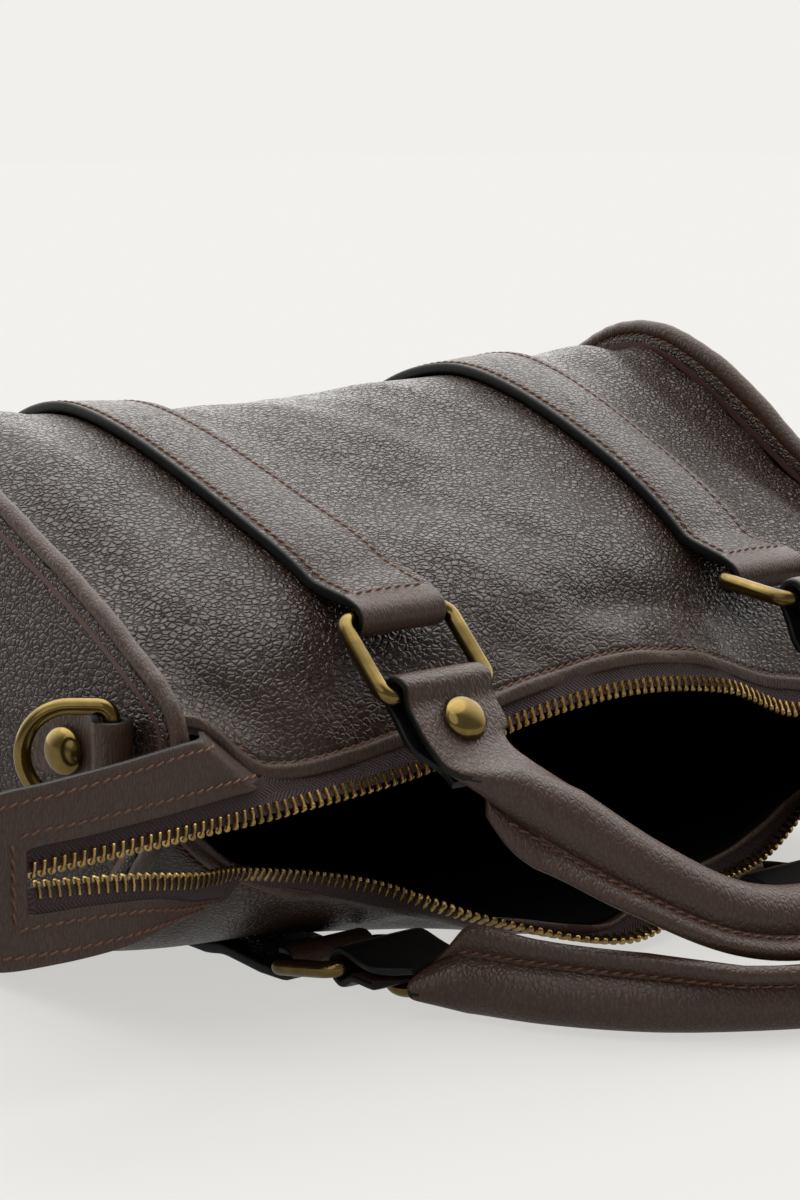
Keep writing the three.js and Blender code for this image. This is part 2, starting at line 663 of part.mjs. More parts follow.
// Zip: a tape between the leather edge and the tooth rail along each lip
function slotEdge(row, x) {
  const arm = row === 'front' ? tabRows.slice(0, 6) : tabRows.slice(-5).reverse();
  const rows = arm.map(({ slot }) => ({ x: slot[0], point: [slot[1], slot[2]] })).sort((a, b) => a.x - b.x);
  return columnAt(rows, 'point', Math.max(Math.min(-Math.abs(x), rows[rows.length - 1].x), rows[0].x));
}

function leatherEdge(row, x) {
  if (Math.abs(x) > hemReach + gap) {
    const [y, z] = slotEdge(row, x);
    return new THREE.Vector3(x, y - tabLeather / 2, z);
  }
  return skinPoint(x, row === 'front' ? 0 : lastPlace, -wall / 2);
}

function buildZip(row) {
  const rings = [];
  const tape = { outer: [], inner: [] };
  for (let i = 0; i <= zipSteps; i += 1) {
    const x = zipStart - 2 * zipStart * i / zipSteps;
    const tooth = new THREE.Vector3(x, ...columnAt(zipRows, row, x));
    const edge = leatherEdge(row, x);
    const toward = tooth.clone().sub(edge).setX(0);
    const reach = toward.length();
    toward.normalize();
    const normal = new THREE.Vector3(0, -toward.z, toward.y);
    rings.push([[-1, -1], [1, -1], [1, 1], [-1, 1]].map(([u, v]) => tooth.clone()
      .addScaledVector(toward, u * railWidth / 2)
      .addScaledVector(normal, v * railThickness / 2)));
    const ends = [3 * gap, Math.max(reach - railWidth / 2 - 2 * gap, 4 * gap)];
    for (const [side, list] of [[1, tape.outer], [-1, tape.inner]]) {
      list.push(ends.map((along) => edge.clone().addScaledVector(toward, along)
        .addScaledVector(normal, side * tapeThickness / 2)));
    }
  }
  addPiece(`zip_tape_${row}`, sheet(tape.outer, tape.inner), tapeFinish);
  addPiece(`zip_teeth_${row}`, loft(rings, false), toothFinish);
}

function buildZipTab(side, name) {
  const shares = [0, 1];
  const face = (lift) => tabRows.map(({ edge, slot }) => shares.map((share) => {
    const point = new THREE.Vector3(...edge).lerp(new THREE.Vector3(...slot), share);
    return new THREE.Vector3(-side * point.x, point.y - lift, point.z);
  }));
  addPiece(`zip_tab_${name}`, sheet(face(tabLeather), face(0)), leatherFinish);
}

// Slider at the far end of the zip, closed plate with its pull laid along the tab
function buildSlider() {
  const outline = new THREE.Shape([
    [-6, -4], [6, -5], [6, -2], [24, -2.6], [26, 0], [24, 2.6], [6, 2], [6, 5], [-6, 4],
  ].map(([x, z]) => new THREE.Vector2(x, z)));
  const body = new THREE.ExtrudeGeometry(outline, { depth: 2.6, bevelEnabled: false });
  body.rotateX(Math.PI / 2);
  body.translate(166, -88.6, 52.2);
  addPiece('zip_slider', body, brassFinish);
}

// D-ring on each end, held by a riveted leather loop
function buildDRing(side, name) {
  const bar = new THREE.Vector3(side * dRingBarX, dRingBarY, dRingBarZ);
  const outward = new THREE.Vector3(side * Math.sin(dRingOpen), Math.cos(dRingOpen), 0);
  const upright = new THREE.Vector3(0, 0, 1);
  const half = dRingWidth / 2;
  const corner = 3;
  const straight = dRingDepth - half;
  const path = [];
  const put = (along, up) => path.push(
    bar.clone().addScaledVector(outward, along).addScaledVector(upright, up),
  );
  put(0, -half + corner);
  put(0, half - corner);
  put(corner * 0.3, half - corner * 0.3);
  put(corner, half);
  for (let i = 0; i <= 6; i += 1) {
    const angle = Math.PI / 2 - Math.PI * i / 6;
    put(straight + half * Math.cos(angle), half * Math.sin(angle));
  }
  put(corner, -half);
  put(corner * 0.3, -half + corner * 0.3);
  addPiece(`d_ring_${name}`, wireRing(path, new THREE.Vector3().crossVectors(outward, upright), dRingWire / 2),
    brassFinish);

  const under = -chapeDepth;
  const top = under + foldLeather + gap;
  const over = foldArc([0, 0], [-1, 0], [0, -1], [80, 40, 0, -40, -80, -110]);
  const strip = [[chapeLength, under], [chapeRivet, under], ...over, [chapeRivet - 9, top + 1],
    [chapeRivet - 6, top], [chapeLength, top]];
  const along = new THREE.Vector3(side * Math.sin(chapeTilt), Math.cos(chapeTilt), 0);
  const away = new THREE.Vector3(side * Math.cos(chapeTilt), -Math.sin(chapeTilt), 0);
  const placed = ([u, w], up) => bar.clone().addScaledVector(along, u).addScaledVector(away, w)
    .addScaledVector(upright, up);
  const faces = stripFaces(strip, strip.map(() => foldLeather));
  const across = (point) => [-1, 1].map((edge) => placed(point, edge * chapeWidth / 2));
  const grids = faces.map((face) => face.map(across));
  addPiece(`d_ring_loop_${name}`, sheet(grids[0], grids[1]), leatherFinish);
  addRivet(`rivet_end_${name}`, placed([chapeRivet, top + foldLeather / 2 + gap], -1.5), away);
}

buildBody();
for (const [side, name] of [[-1, 'left'], [1, 'right']]) {
  buildEnd(side, name);
  buildStrap(side, name);
  buildZipTab(side, name);
  buildDRing(side, name);
}
for (const [name, bars] of Object.entries(ringBars)) {
  buildRing(name, bars);
}
for (const [name, handle] of Object.entries(handles)) {
  buildHandle(name, handle);
}
buildZip('front');
buildZip('back');
buildSlider();

// The origin sits under the middle of the bag, on the surface that it lies on.
const extent = new THREE.Box3().setFromObject(bag);
const middle = extent.getCenter(new THREE.Vector3());
bag.position.set(-middle.x, -middle.y, -extent.min.z);

export default bag;
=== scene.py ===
"""Leather cargo bag lying on its back with the zip open, dressed round its fixed frame of solids."""

import functools
import math

import bpy
import numpy as np
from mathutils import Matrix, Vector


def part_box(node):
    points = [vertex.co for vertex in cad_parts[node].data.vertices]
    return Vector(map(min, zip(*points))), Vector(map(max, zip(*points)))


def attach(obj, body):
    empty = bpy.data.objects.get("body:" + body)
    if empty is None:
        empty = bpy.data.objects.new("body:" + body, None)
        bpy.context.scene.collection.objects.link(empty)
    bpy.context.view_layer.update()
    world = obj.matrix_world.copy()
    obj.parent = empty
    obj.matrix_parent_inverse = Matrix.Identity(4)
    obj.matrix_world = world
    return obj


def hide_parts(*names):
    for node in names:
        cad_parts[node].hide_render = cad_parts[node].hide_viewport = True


bl_info = {
    "name": "Cargo Bag",
    "version": (1, 0, 0),
    "blender": (4, 5, 0),
    "location": "View3D > Sidebar > Cargo Bag",
    "description": "Builds a small leather cargo bag with rolled handles, strap bands and a brass zip",
    "category": "Add Mesh",
}

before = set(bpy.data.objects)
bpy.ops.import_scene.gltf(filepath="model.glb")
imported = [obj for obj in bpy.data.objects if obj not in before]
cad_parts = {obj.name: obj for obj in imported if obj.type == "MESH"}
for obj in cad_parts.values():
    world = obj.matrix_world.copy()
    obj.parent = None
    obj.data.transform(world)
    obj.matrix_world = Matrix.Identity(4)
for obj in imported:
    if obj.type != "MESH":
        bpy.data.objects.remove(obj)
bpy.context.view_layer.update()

# The tables below are in millimetres with Y counted from the middle of the mouth.
# The frame's Y differs by one shift, read from the lowest Y of the left zip tab.
MM = 0.001
TAB_LOWEST_Y = -88.2
SHIFT = np.array([0.0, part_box("zip_tab_left")[0].y - TAB_LOWEST_Y * MM, 0.0])

SIDES = ((-1, "left"), (1, "right"))
SEAM_X = 132.0  # end seams
PANEL_END = 129.4  # ends of the body leather
END_CENTRE = np.array([8.0, 69.0])  # middle of an end, [y, z]
REST_HEIGHT = 3.4  # body over the floor, on its straps
GAP = 0.4  # between pieces that lie on each other
STRAP_CENTRE = 63.0
FOLD_RADIUS = 3.7  # strap or loop round a bar
FOLD_LEATHER = 1.8  # thickness of that fold
TAB_FOLD = 4.0  # handle round a bar
TAB_LIFT = 2.0  # handle tab over its bar
RIVET_DROP = 9.8  # from a handle's bar to its rivet
HEM_REACH = 106.4  # where the hems run into the zip tabs
HEM_SEAM = 3.6  # from an edge of the mouth to its stitching
ZIP_END = 176.0  # ends of the tooth rows
TAPE_TUCK = 2.4  # tape inside the zip tabs
CLOTH = 0.9  # thickness of lining and tape

# Cross sections of the body, [y, z] from the front hem over the crown and round the base to the back lip.
# Columns: hem, brow, front, crown, corner, base, heel, sole, toe, lip.
SECTIONS = {
    -132: ((-74, 77), (-61, 87), (-26, 106), (42, 131), (77, 116),
           (88, 68), (76, 15), (22, 8.1), (-42, 27), (-71, 60)),
    -122: ((-76.4, 75.6), (-62, 87.4), (-26, 108), (42, 131.6), (79, 115),
           (90.4, 67), (78, 11), (20, 4.4), (-42, 23), (-68, 50)),
    -106: ((-78.5, 62), (-64, 88), (-27, 109), (48, 131.6), (82, 114),
           (92, 66), (80, 8), (20, 2), (-40, 15), (-65.6, 36.4)),
    -63: ((-78, 64), (-61, 93.5), (-24, 111), (54, 129.4), (86, 112.5),
          (93, 64), (82, 6), (14, 0), (-26, 5.5), (-60, 21.1)),
    -30: ((-79, 70.5), (-62.5, 93.5), (-24, 112), (49, 130.4), (85, 112.5),
          (93.7, 64), (82.5, 6), (12, 0), (-34, 2.6), (-62.3, 9.8)),
    0: ((-79, 74), (-63, 93), (-24, 113), (44, 131.5), (85, 113),
        (94, 64), (83, 6), (10, 0), (-46, 1), (-73, 3.6)),
    30: ((-78.5, 71.5), (-62, 91), (-23, 114), (43, 133), (84.5, 114),
         (93.7, 64), (82.5, 6), (12, 0), (-36, 3.8), (-69, 9)),
    63: ((-76, 60), (-60, 87), (-22, 115), (42, 134.5), (84, 115),
         (93, 64), (82, 6), (14, 0), (-33, 5.6), (-65, 13.6)),
    106: ((-78, 57), (-63, 83), (-25, 108), (45, 139.6), (81.4, 120),
          (92, 66), (80, 8), (20, 2), (-40, 14), (-61.6, 31.4)),
    122: ((-76, 74.2), (-62, 83.4), (-25, 104), (45, 138.4), (79.4, 120.6),
          (90.4, 67), (78, 11), (20, 4.4), (-42, 22), (-67.6, 48)),
    132: ((-74, 76), (-61, 84), (-26, 101), (45, 137.6), (78, 121),
          (88, 68), (76, 15), (22, 8.1), (-42, 25), (-71, 58)),
}
SECTION_X = np.array(list(SECTIONS), float)
SECTION_KEYS = np.array(list(SECTIONS.values()), float)
LAST_PLACE = SECTION_KEYS.shape[1] - 1
SEAM_APEX = (-75.0, 69.0)

# Dents in the body leather. Columns: x, place counted in section columns, sigma in x, sigma in place, depth.
DENTS = np.array([
    (98, 2.2, 16, 0.55, 5), (30, 0.75, 26, 0.16, 2.6), (-24, 2.45, 22, 0.5, 2.2), (-112, 0.7, 11, 0.3, 3),
    (-121, 2.1, 6, 0.8, 2.4), (121, 2.6, 6, 0.9, 2.4), (-96, 2.9, 14, 0.5, -2.2), (10, 1.5, 20, 0.35, -2),
])

# Slack ripples over the panel. Columns: waves per mm of x, waves per place, phase, height.
RIPPLES = np.array([
    (0.021, 0.55, 0.3, 0.34), (-0.034, 0.9, 1.7, 0.26), (0.012, -1.3, 4.1, 0.22), (0.052, 1.6, 2.6, 0.14),
])

# Tooth rows of the open zip. Columns: x, front y, front z, back y, back z.
ZIP_ROWS = np.array([
    (-176, -86.6, 54.3, -86.6, 50.1), (-150, -86.4, 55, -85.5, 47), (-128, -84.6, 55.2, -79.5, 42.4),
    (-106, -82.6, 55.4, -69, 38), (-63, -81.3, 58.4, -62, 25.8), (-30, -81, 65.6, -66.5, 12),
    (5, -81, 68.2, -80.4, 3.6), (40, -80, 63.6, -75.4, 10.4), (66, -78.6, 53.8, -71.4, 14.4),
    (106, -82.4, 51.4, -69, 38), (128, -84.6, 54, -79.5, 44), (150, -86.4, 55, -85.5, 48.4),
    (176, -86.6, 54.3, -86.6, 50.1),
])

# Left zip tab from its upper arm round to its lower arm. Columns: outer edge x, y, z, slot edge x, y, z.
TAB_ROWS = np.array([
    (-123.2, -76.2, 74.9, -107.2, -78, 60.7), (-129.4, -82.9, 75.2, -114, -80.9, 60.8),
    (-137, -85, 75.2, -122, -82.8, 60.9), (-151, -86, 74, -138, -85, 60.4),
    (-170, -86.2, 72.6, -161, -86, 59.4), (-186, -86, 71.4, -176.8, -86, 58.6),
    (-193, -85.6, 67.6, -176.8, -86, 57.8), (-196, -85.4, 60, -176.8, -86, 54),
    (-196, -85.4, 45.6, -176.8, -86, 50.4), (-193, -85.6, 38, -176.8, -86, 46.4),
    (-186, -86, 34.4, -176.8, -86, 45.6), (-170, -86, 33, -161, -85.6, 44.2),
    (-151, -84.6, 33, -141, -82, 41.4), (-137, -79.6, 33.4, -127, -75.4, 36.8),
    (-123, -71.5, 32.6, -114, -67.6, 33.4),
])

# The upper arm dips behind the edge of the front panel and runs on under it.
TAB_DIP = np.array([0, 1.9, 0, 0, 1.9, 0])
TAB_TUCK = np.array([6.2, 2.6, -1.2, 6.2, 2.4, -0.8])

# Bars of the rings, [y, z]: the bar in the strap's fold, then the bar in the handle's fold.
RING_BARS = {
    "front_left": (-1, (-70.5, 93.4), (-86.5, 77.6)),
    "front_right": (1, (-70, 89.6), (-92.3, 87.2)),
    "back_left": (-1, (-44, 4.4), (-66.2, 8.7)),
    "back_right": (1, (-57.5, 4.4), (-79.9, 7.3)),
}

# Where the right binding stands higher: place in section columns, sigma in place, height.
RIM_SWELL = (2.5, 0.26, 3.2)

# Handles: outward face, [along, out] of the flap behind the tab, [y, z] direction of the left and the right
# tab, then the roll's line.
# Columns of the line: x, y, z, round, which goes from 0 for the flat tab to 1 for the full roll, and lean,
# which turns the stitched flange away from the back of the face, in degrees.
HANDLES = {
    "front": ((0, -0.73, 0.69), ((23.5, -1.4), (15, -3.7), (5, -3.8)), (-0.64, -0.768), (-0.42, -0.907), (
        (-61.6, -100.4, 63.6, 0.3, -50), (-57.5, -105.4, 58.6, 0.8, -54), (-48, -113.6, 50, 1, -60),
        (-33, -126, 37, 1, -88), (-14, -135.4, 26.2, 1, -99), (8, -139.6, 22.9, 1, -106),
        (30, -137, 26, 1, -100), (47, -128, 37, 1, -88), (57.4, -116, 50, 1, -60),
        (61.4, -108.4, 59.4, 0.8, -54), (62.8, -103, 66.6, 0.3, -50))),
    "back": ((0, 0, -1), ((20, -2.8), (14, -1.9), (8, -2.4)), (-1, 0), (-1, 0), (
        (-62, -85.4, 7.6, 0.55, 10), (-58, -92.6, 7.9, 1, 10), (-50, -110, 7.9, 1, 12),
        (-36, -129, 7.9, 1, 22), (-20, -142, 7.9, 1, 42), (0, -153, 7.9, 1, 46), (22, -157, 7.9, 1, 46),
        (42, -149, 7.9, 1, 40), (56, -132, 7.9, 1, 24), (61.6, -114, 7.9, 1, 12), (63, -104, 7.7, 0.7, 10),
        (63, -98, 7.3, 0.25, 10))),
}

# A roll's section, in degrees round its circle, and half of the flange that closes it: reach and half width.
ROLL_DEGREES = np.linspace(-90 + 11, 270 - 11, 44)
FLANGE_REACH = np.array([0.1, 0.26, 0.5, 0.76, 0.94, 1.0]) * 5.6
FLANGE_HALF = np.array([1.15, 1.6, 1.9, 1.85, 1.4, 0.7])

# Where a handle's tab turns into the roll: rings evened out, rings of them on the tab, and passes.
EVENED, EVENED_ON_TAB, EVEN_PASSES = 23, 3, 14

# Domed rivet, [radius, height] from its foot to its crown: half an ellipse.
DOME = np.radians(np.linspace(0, 84, 14))
RIVET_PROFILE = np.vstack([
    [(0, 0), (5.6, 0)], np.stack([5.8 * np.cos(DOME), 0.2 + 3.4 * np.sin(DOME)], axis=-1), [(0, 3.6)]])

D_RING_BAR = np.array([140.2, -66.0, 70.0])
D_RING_OPEN = math.radians(48)
LOOP_TILT = math.radians(9)


def linear(colour):
    """sRGB hex colour to linear red, green, blue: a straight foot and a 2.4 power above it."""
    share = np.array([int(colour[k:k + 2], 16) for k in (1, 3, 5)]) / 255
    curve = np.where(share <= 0.04045, share / 12.92, ((share + 0.055) / 1.055) ** 2.4)
    return tuple(float(v) for v in curve)


def length_property(name, description, default):
    """Length in metres for a size that is thought of in millimetres."""
    return bpy.props.FloatProperty(name=name, description=description, default=default * MM, min=0.0,
                                   unit="LENGTH", subtype="DISTANCE", precision=5)


def colour_property(name, description, default):
    """Colour picked as sRGB hex and kept as linear values."""
    return bpy.props.FloatVectorProperty(name=name, description=description, default=linear(default), size=3,
                                         min=0.0, max=1.0, subtype="COLOR")


class CargoBagSizes(bpy.types.PropertyGroup):
    """Sizes of the bag's leather, thread and metal."""

    wall: length_property("Leather wall", "Thickness of the body leather", 1.6)
    hem_wall: length_property("Hem wall", "Thickness of the turned hem at the mouth", 2.6)
    strap_width: length_property("Strap width", "Width of the bands round the body", 26)
    strap_wall: length_property("Strap thickness", "Thickness of the doubled strap leather", 3)
    ring_width: length_property("Ring width", "Width of a rectangular ring between its bars' centres", 32)
    ring_wire: length_property("Ring wire", "Diameter of the wire of a rectangular ring", 4.2)
    roll_radius: length_property("Handle radius", "Radius of the rolled handle", 7.4)
    tab_wall: length_property("Handle tab thickness", "Thickness of a handle's flat tab", 2.4)
    d_ring_wire: length_property("D-ring wire", "Diameter of the wire of a D-ring", 4.0)
    tooth_pitch: length_property("Tooth pitch", "Distance between the teeth of one zip row", 2.5)
    stitch_pitch: length_property("Stitch length", "Distance between needle holes", 2.9)
    thread: length_property("Thread diameter", "Diameter of the sewing thread", 0.68)
    grain: length_property("Leather grain", "Width of one pebble of the body leather", 1.4)


class CargoBagColours(bpy.types.PropertyGroup):
    """Colours of the bag's leather, cloth, thread and metal."""

    leather: colour_property("Leather", "Pebbled body leather", "#32221b")
    # Trim is the leather's brown made lighter: painted light, so that handles, tabs and edges look more
    # brightly lit than the body.
    trim: colour_property("Trim", "Smoother leather of handles, tabs and edges", "#432f25")
    paint: colour_property("Edge paint", "Painted edges of straps and handle tabs", "#070708")
    bare: colour_property("Bare edge", "Unpainted cut edges of the bindings", "#4b2f2a")
    thread: colour_property("Thread", "Sewing thread", "#643c24")
    lining: colour_property("Lining", "Cloth inside the bag", "#050404")
    tape: colour_property("Zip tape", "Herringbone tape of the zip", "#341d20")
    brass: colour_property("Antique brass", "Rings, D-rings and rivets", "#806d40")
    zip_brass: colour_property("Zip brass", "Teeth and slider", "#bd9d63")
    floor: colour_property("Floor", "Pale studio floor", "#f1f0ed")


def mm(name):
    """A named size in millimetres."""
    return getattr(bpy.context.scene.cargo_bag_sizes, name) / MM


def colour(name):
    """A named colour as linear red, green, blue, alpha."""
    return (*getattr(bpy.context.scene.cargo_bag_colours, name), 1.0)


# Surface mathematics

def unit(vectors):
    """Vectors divided by their lengths."""
    return vectors / np.linalg.norm(vectors, axis=-1, keepdims=True)


def smooth_step(low, high, value):
    """0 below low, 1 above high, and 3t^2 - 2t^3 between them."""
    t = np.clip((value - low) / (high - low), 0, 1)
    return t * t * (3 - 2 * t)


def bell(value, middle, spread):
    """Gaussian: the exponential of minus the squared distance from the middle, counted in spreads."""
    return np.exp(-((value - middle) / spread) ** 2)


def along_table(xs, rows, x):
    """Cubic through a table's rows at x; the slope at a row is the chord between its two neighbours."""
    last = len(xs) - 1
    index = np.arange(len(xs))
    after, before = np.minimum(index + 1, last), np.maximum(index - 1, 0)
    wide = (slice(None),) + (None,) * (rows.ndim - 1)
    slope = (rows[after] - rows[before]) / (xs[after] - xs[before])[wide]
    k = np.clip(np.searchsorted(xs, x, side="right") - 1, 0, last - 1)
    span = (xs[k + 1] - xs[k])[wide]
    t = ((x - xs[k])[wide]) / span
    return (rows[k] * (1 + 2 * t) * (1 - t) ** 2 + rows[k + 1] * t * t * (3 - 2 * t)
            + slope[k] * span * t * (1 - t) ** 2 - slope[k + 1] * span * t * t * (1 - t))


def through_keys(keys, t, closed=False):
    """Centripetal Catmull-Rom curve through keys (..., n, d) at t, which counts keys from 0.

    Each span is a cubic Hermite whose end slopes weigh the chords by the fourth root of their squared length.
    """
    if closed:
        padded = np.concatenate([keys[..., -1:, :], keys, keys[..., :2, :]], axis=-2)
    else:
        first = 2 * keys[..., :1, :] - keys[..., 1:2, :]
        final = 2 * keys[..., -1:, :] - keys[..., -2:-1, :]
        padded = np.concatenate([first, keys, final], axis=-2)
    t = np.broadcast_to(t, keys.shape[:-2] + np.shape(t)[-1:])
    start = np.clip(np.floor(t).astype(int), 0, padded.shape[-2] - 4)
    w = (t - start)[..., None]
    p0, p1, p2, p3 = (np.take_along_axis(padded, (start + j)[..., None], axis=-2) for j in range(4))
    d0, d1, d2 = (np.maximum(np.sum((b - a) ** 2, axis=-1, keepdims=True) ** 0.25, 1e-4)
                  for a, b in ((p0, p1), (p1, p2), (p2, p3)))
    m1 = ((p1 - p0) / d0 - (p2 - p0) / (d0 + d1) + (p2 - p1) / d1) * d1
    m2 = ((p2 - p1) / d1 - (p3 - p1) / (d1 + d2) + (p3 - p2) / d2) * d1
    return (p1 * (1 + 2 * w) * (1 - w) ** 2 + p2 * w * w * (3 - 2 * w)
            + m1 * w * (1 - w) ** 2 - m2 * w * w * (1 - w))


def smooth_path(keys, per_span):
    """Curve through keys with per_span points in each span."""
    return through_keys(keys, np.linspace(0, len(keys) - 1, (len(keys) - 1) * per_span + 1))


def lengths(path):
    """Running length along the points of a path (n, d), or along each path of a grid (..., n, d)."""
    steps = np.linalg.norm(np.diff(path, axis=-2), axis=-1)
    return np.concatenate([np.zeros(steps.shape[:-1] + (1,)), np.cumsum(steps, axis=-1)], axis=-1)


def at_lengths(rows, run, at):
    """Rows that go with the running lengths of a path, taken straight between them at other lengths."""
    return np.stack([np.interp(at, run, column) for column in rows.T], axis=-1)


def tangents(path, closed=False):
    """Unit direction along a path: chord between the two neighbours of each point."""
    if closed:
        return unit(np.roll(path, -1, axis=0) - np.roll(path, 1, axis=0))
    return unit(np.gradient(path, axis=0))


def quarter_turned(directions):
    """Directions [y, z] turned by a quarter turn."""
    return np.stack([-directions[..., 1], directions[..., 0]], axis=-1)


def body_surface(x, place):
    """Undented outside of the body on the grid x by place: section curves, flattened where the bag rests."""
    keys = along_table(SECTION_X, SECTION_KEYS, np.atleast_1d(np.asarray(x, float)))
    yz = through_keys(keys, np.asarray(place, float))
    columns = np.broadcast_to(np.atleast_1d(x)[:, None, None], yz.shape[:-1] + (1,))
    points = np.concatenate([columns, yz], axis=-1)
    points[..., 2] = np.maximum(points[..., 2], REST_HEIGHT)
    return points


def body_normals(x, place):
    """Outward normals of the body: cross product of short chords along x and round the section."""
    x, place = np.asarray(x, float), np.asarray(place, float)
    right, left = np.minimum(x + 0.5, SEAM_X), np.maximum(x - 0.5, -SEAM_X)
    after, before = np.minimum(place + 0.01, LAST_PLACE), np.maximum(place - 0.01, 0)
    along = body_surface(right, place) - body_surface(left, place)
    round_ = body_surface(x, after) - body_surface(x, before)
    return unit(np.cross(along, round_))


def skin(x, place, lift=0.0):
    """Outside of the body with its dents: each is a Gaussian in x and place, taken off along the normal."""
    x, place = np.asarray(x, float), np.asarray(place, float)
    at_x, at_place, wide, high, deep = DENTS.T
    across = (x[:, None, None] - at_x) / wide
    round_ = (np.broadcast_to(place, (len(x), np.shape(place)[-1]))[..., None] - at_place) / high
    depth = np.sum(deep * np.exp(-0.5 * (across ** 2 + round_ ** 2)), axis=-1)
    return body_surface(x, place) + body_normals(x, place) * (lift - depth)[..., None]


def relief(x, place):
    """Slack of the leather: low waves, and small puckers round the end seams.

    The waves are a sum of sines that fades out under the straps and where the bag rests.
    The puckers are a sine round the section that dies out within about 15 mm of a seam.
    """
    lands, lifts = (5.2, 5.9), (8.1, 8.7)
    place = np.broadcast_to(place, (len(x), np.shape(place)[-1]))
    per_x, per_place, phase, height = RIPPLES.T
    turns = per_x * x[:, None, None] + per_place * place[..., None]
    waves = np.sum(height * np.sin(2 * math.pi * turns + phase), axis=-1)
    strap_edge = mm("strap_width") / 2
    clear = smooth_step(strap_edge, strap_edge + 9, np.abs(np.abs(x) - STRAP_CENTRE))
    hanging = 1 - smooth_step(*lands, place) * (1 - smooth_step(*lifts, place))
    pucker = np.sin(2 * math.pi * place * 3.1 + np.sign(x)[:, None] + 1.3 * np.sin(place * 5.3))
    near_seam = bell(SEAM_X - np.abs(x), 3, 7)
    return waves * clear[:, None] * hanging + 0.5 * pucker * near_seam[:, None]


def hem_swell(distance):
    """Turned edge, two Gaussians in the distance: a puffed band and a groove where it is sewn down."""
    return 0.6 * bell(distance, 2.0, 1.5) - 0.55 * bell(distance, HEM_SEAM, 0.6)


# Meshes

def quads_of(rows, columns, wrap_rows=False, wrap_columns=False):
    """Vertex indices of the quads of a grid of rows by columns, joined to its start where it wraps."""
    i = np.arange(rows if wrap_rows else rows - 1)[:, None] * columns
    j = np.arange(columns if wrap_columns else columns - 1)[None, :]
    k, m = (i + columns) % (rows * columns), (j + 1) % columns
    return np.stack([i + j, i + m, k + m, k + j], axis=-1).reshape(-1, 4)


def shell(points, quads, polygons=(), paint=None, uv=None):
    """Closed shell as a dict, with its faces turned outwards by the sign of its volume."""
    a, b, c, d = (points[quads[:, k]] for k in range(4))
    volume = np.sum((np.cross(b - a, c - a) + np.cross(c - a, d - a)) * (a - points.mean(axis=0)))
    if volume < 0:
        quads = quads[:, ::-1]
        polygons = [list(face)[::-1] for face in polygons]
    return {"points": points, "quads": quads, "polygons": [list(face) for face in polygons],
            "paint": np.zeros(len(quads), int) if paint is None else paint, "uv": uv}


def tube(rings, closed=False, paint=None):
    """Skin over rings of points (n, m, 3). A closed run joins its start, an open one gets end faces."""
    n, m = rings.shape[:2]
    ends = [] if closed else [list(range(m))[::-1], list(range((n - 1) * m, n * m))]
    return shell(rings.reshape(-1, 3), quads_of(n, m, closed, True), ends, paint)


def copies(rings, spots, axes):
    """One small tube, rings (n, m, 3), set at every spot on that spot's own three axes, with end faces."""
    n, m = rings.shape[:2]
    local = rings.reshape(-1, 3)
    points = spots[:, None] + sum(local[:, k:k + 1] * axis[:, None] for k, axis in enumerate(axes))
    start = np.arange(len(spots))[:, None, None] * n * m
    quads = quads_of(n, m, False, True) + start
    ends = np.stack([np.arange(m)[::-1], np.arange((n - 1) * m, n * m)]) + start
    return shell(points.reshape(-1, 3), quads.reshape(-1, 4), ends.reshape(-1, m).tolist())


def slab(top, bottom, steps=4):
    """Leather sheet between two grids (n, m, 3) whose long edges are cut square with rounded corners.

    Each row is a loop: along the top, round the edge, back along the bottom and round the other edge.
    An edge is half a superellipse, the square root of a sine and a cosine, and is marked as painted.
    The two ends are closed by quads from top to bottom and a polygon in each rounded edge.
    """
    n, m = top.shape[:2]
    angle = np.linspace(0, math.pi, steps + 2)[1:-1]
    rise, swell = np.sign(np.cos(angle)) * np.sqrt(np.abs(np.cos(angle))), np.sqrt(np.sin(angle))

    def rounded(upper, lower, outward):
        half = (upper - lower) / 2
        radius = np.linalg.norm(half, axis=-1)[:, None, None]
        return ((upper + lower)[:, None] / 2 + half[:, None] * rise[:, None]
                + outward[:, None] * radius * swell[:, None])

    far = rounded(top[:, -1], bottom[:, -1], unit(top[:, -1] - top[:, -2]))
    near = rounded(bottom[:, 0], top[:, 0], unit(top[:, 0] - top[:, 1]))
    loops = np.concatenate([top, far, bottom[:, ::-1], near], axis=1)
    size = loops.shape[1]
    paint = np.zeros((n - 1, size), int)
    paint[:, m:m + steps] = 1
    paint[:, 2 * m + steps - 1:-1] = 1
    j = np.arange(m - 1)
    under = 2 * m + steps - 1 - j
    first = np.stack([j, under, under - 1, j + 1], axis=-1)
    last = first[:, ::-1] + (n - 1) * size
    corners = [list(range(m - 1, m + steps + 1)), list(range(2 * m + steps - 1, size)) + [0]]
    polygons = [corner[::-1] for corner in corners]
    polygons += [[k + (n - 1) * size for k in corner] for corner in corners]
    quads = np.concatenate([quads_of(n, size, False, True), first, last])
    paint = np.concatenate([paint.ravel(), np.ones(2 * (m - 1), int)])
    return shell(loops.reshape(-1, 3), quads, polygons, paint)


def wire(path, normal, radius, sides=16):
    """Round wire on a closed flat path: a circle in the plane of the path's side and its normal."""
    across = np.cross(normal, tangents(path, True))
    angle = np.linspace(0, 2 * math.pi, sides, endpoint=False)
    circle = across[:, None] * np.cos(angle)[:, None] + np.asarray(normal) * np.sin(angle)[:, None]
    return tube(path[:, None] + radius * circle, True)


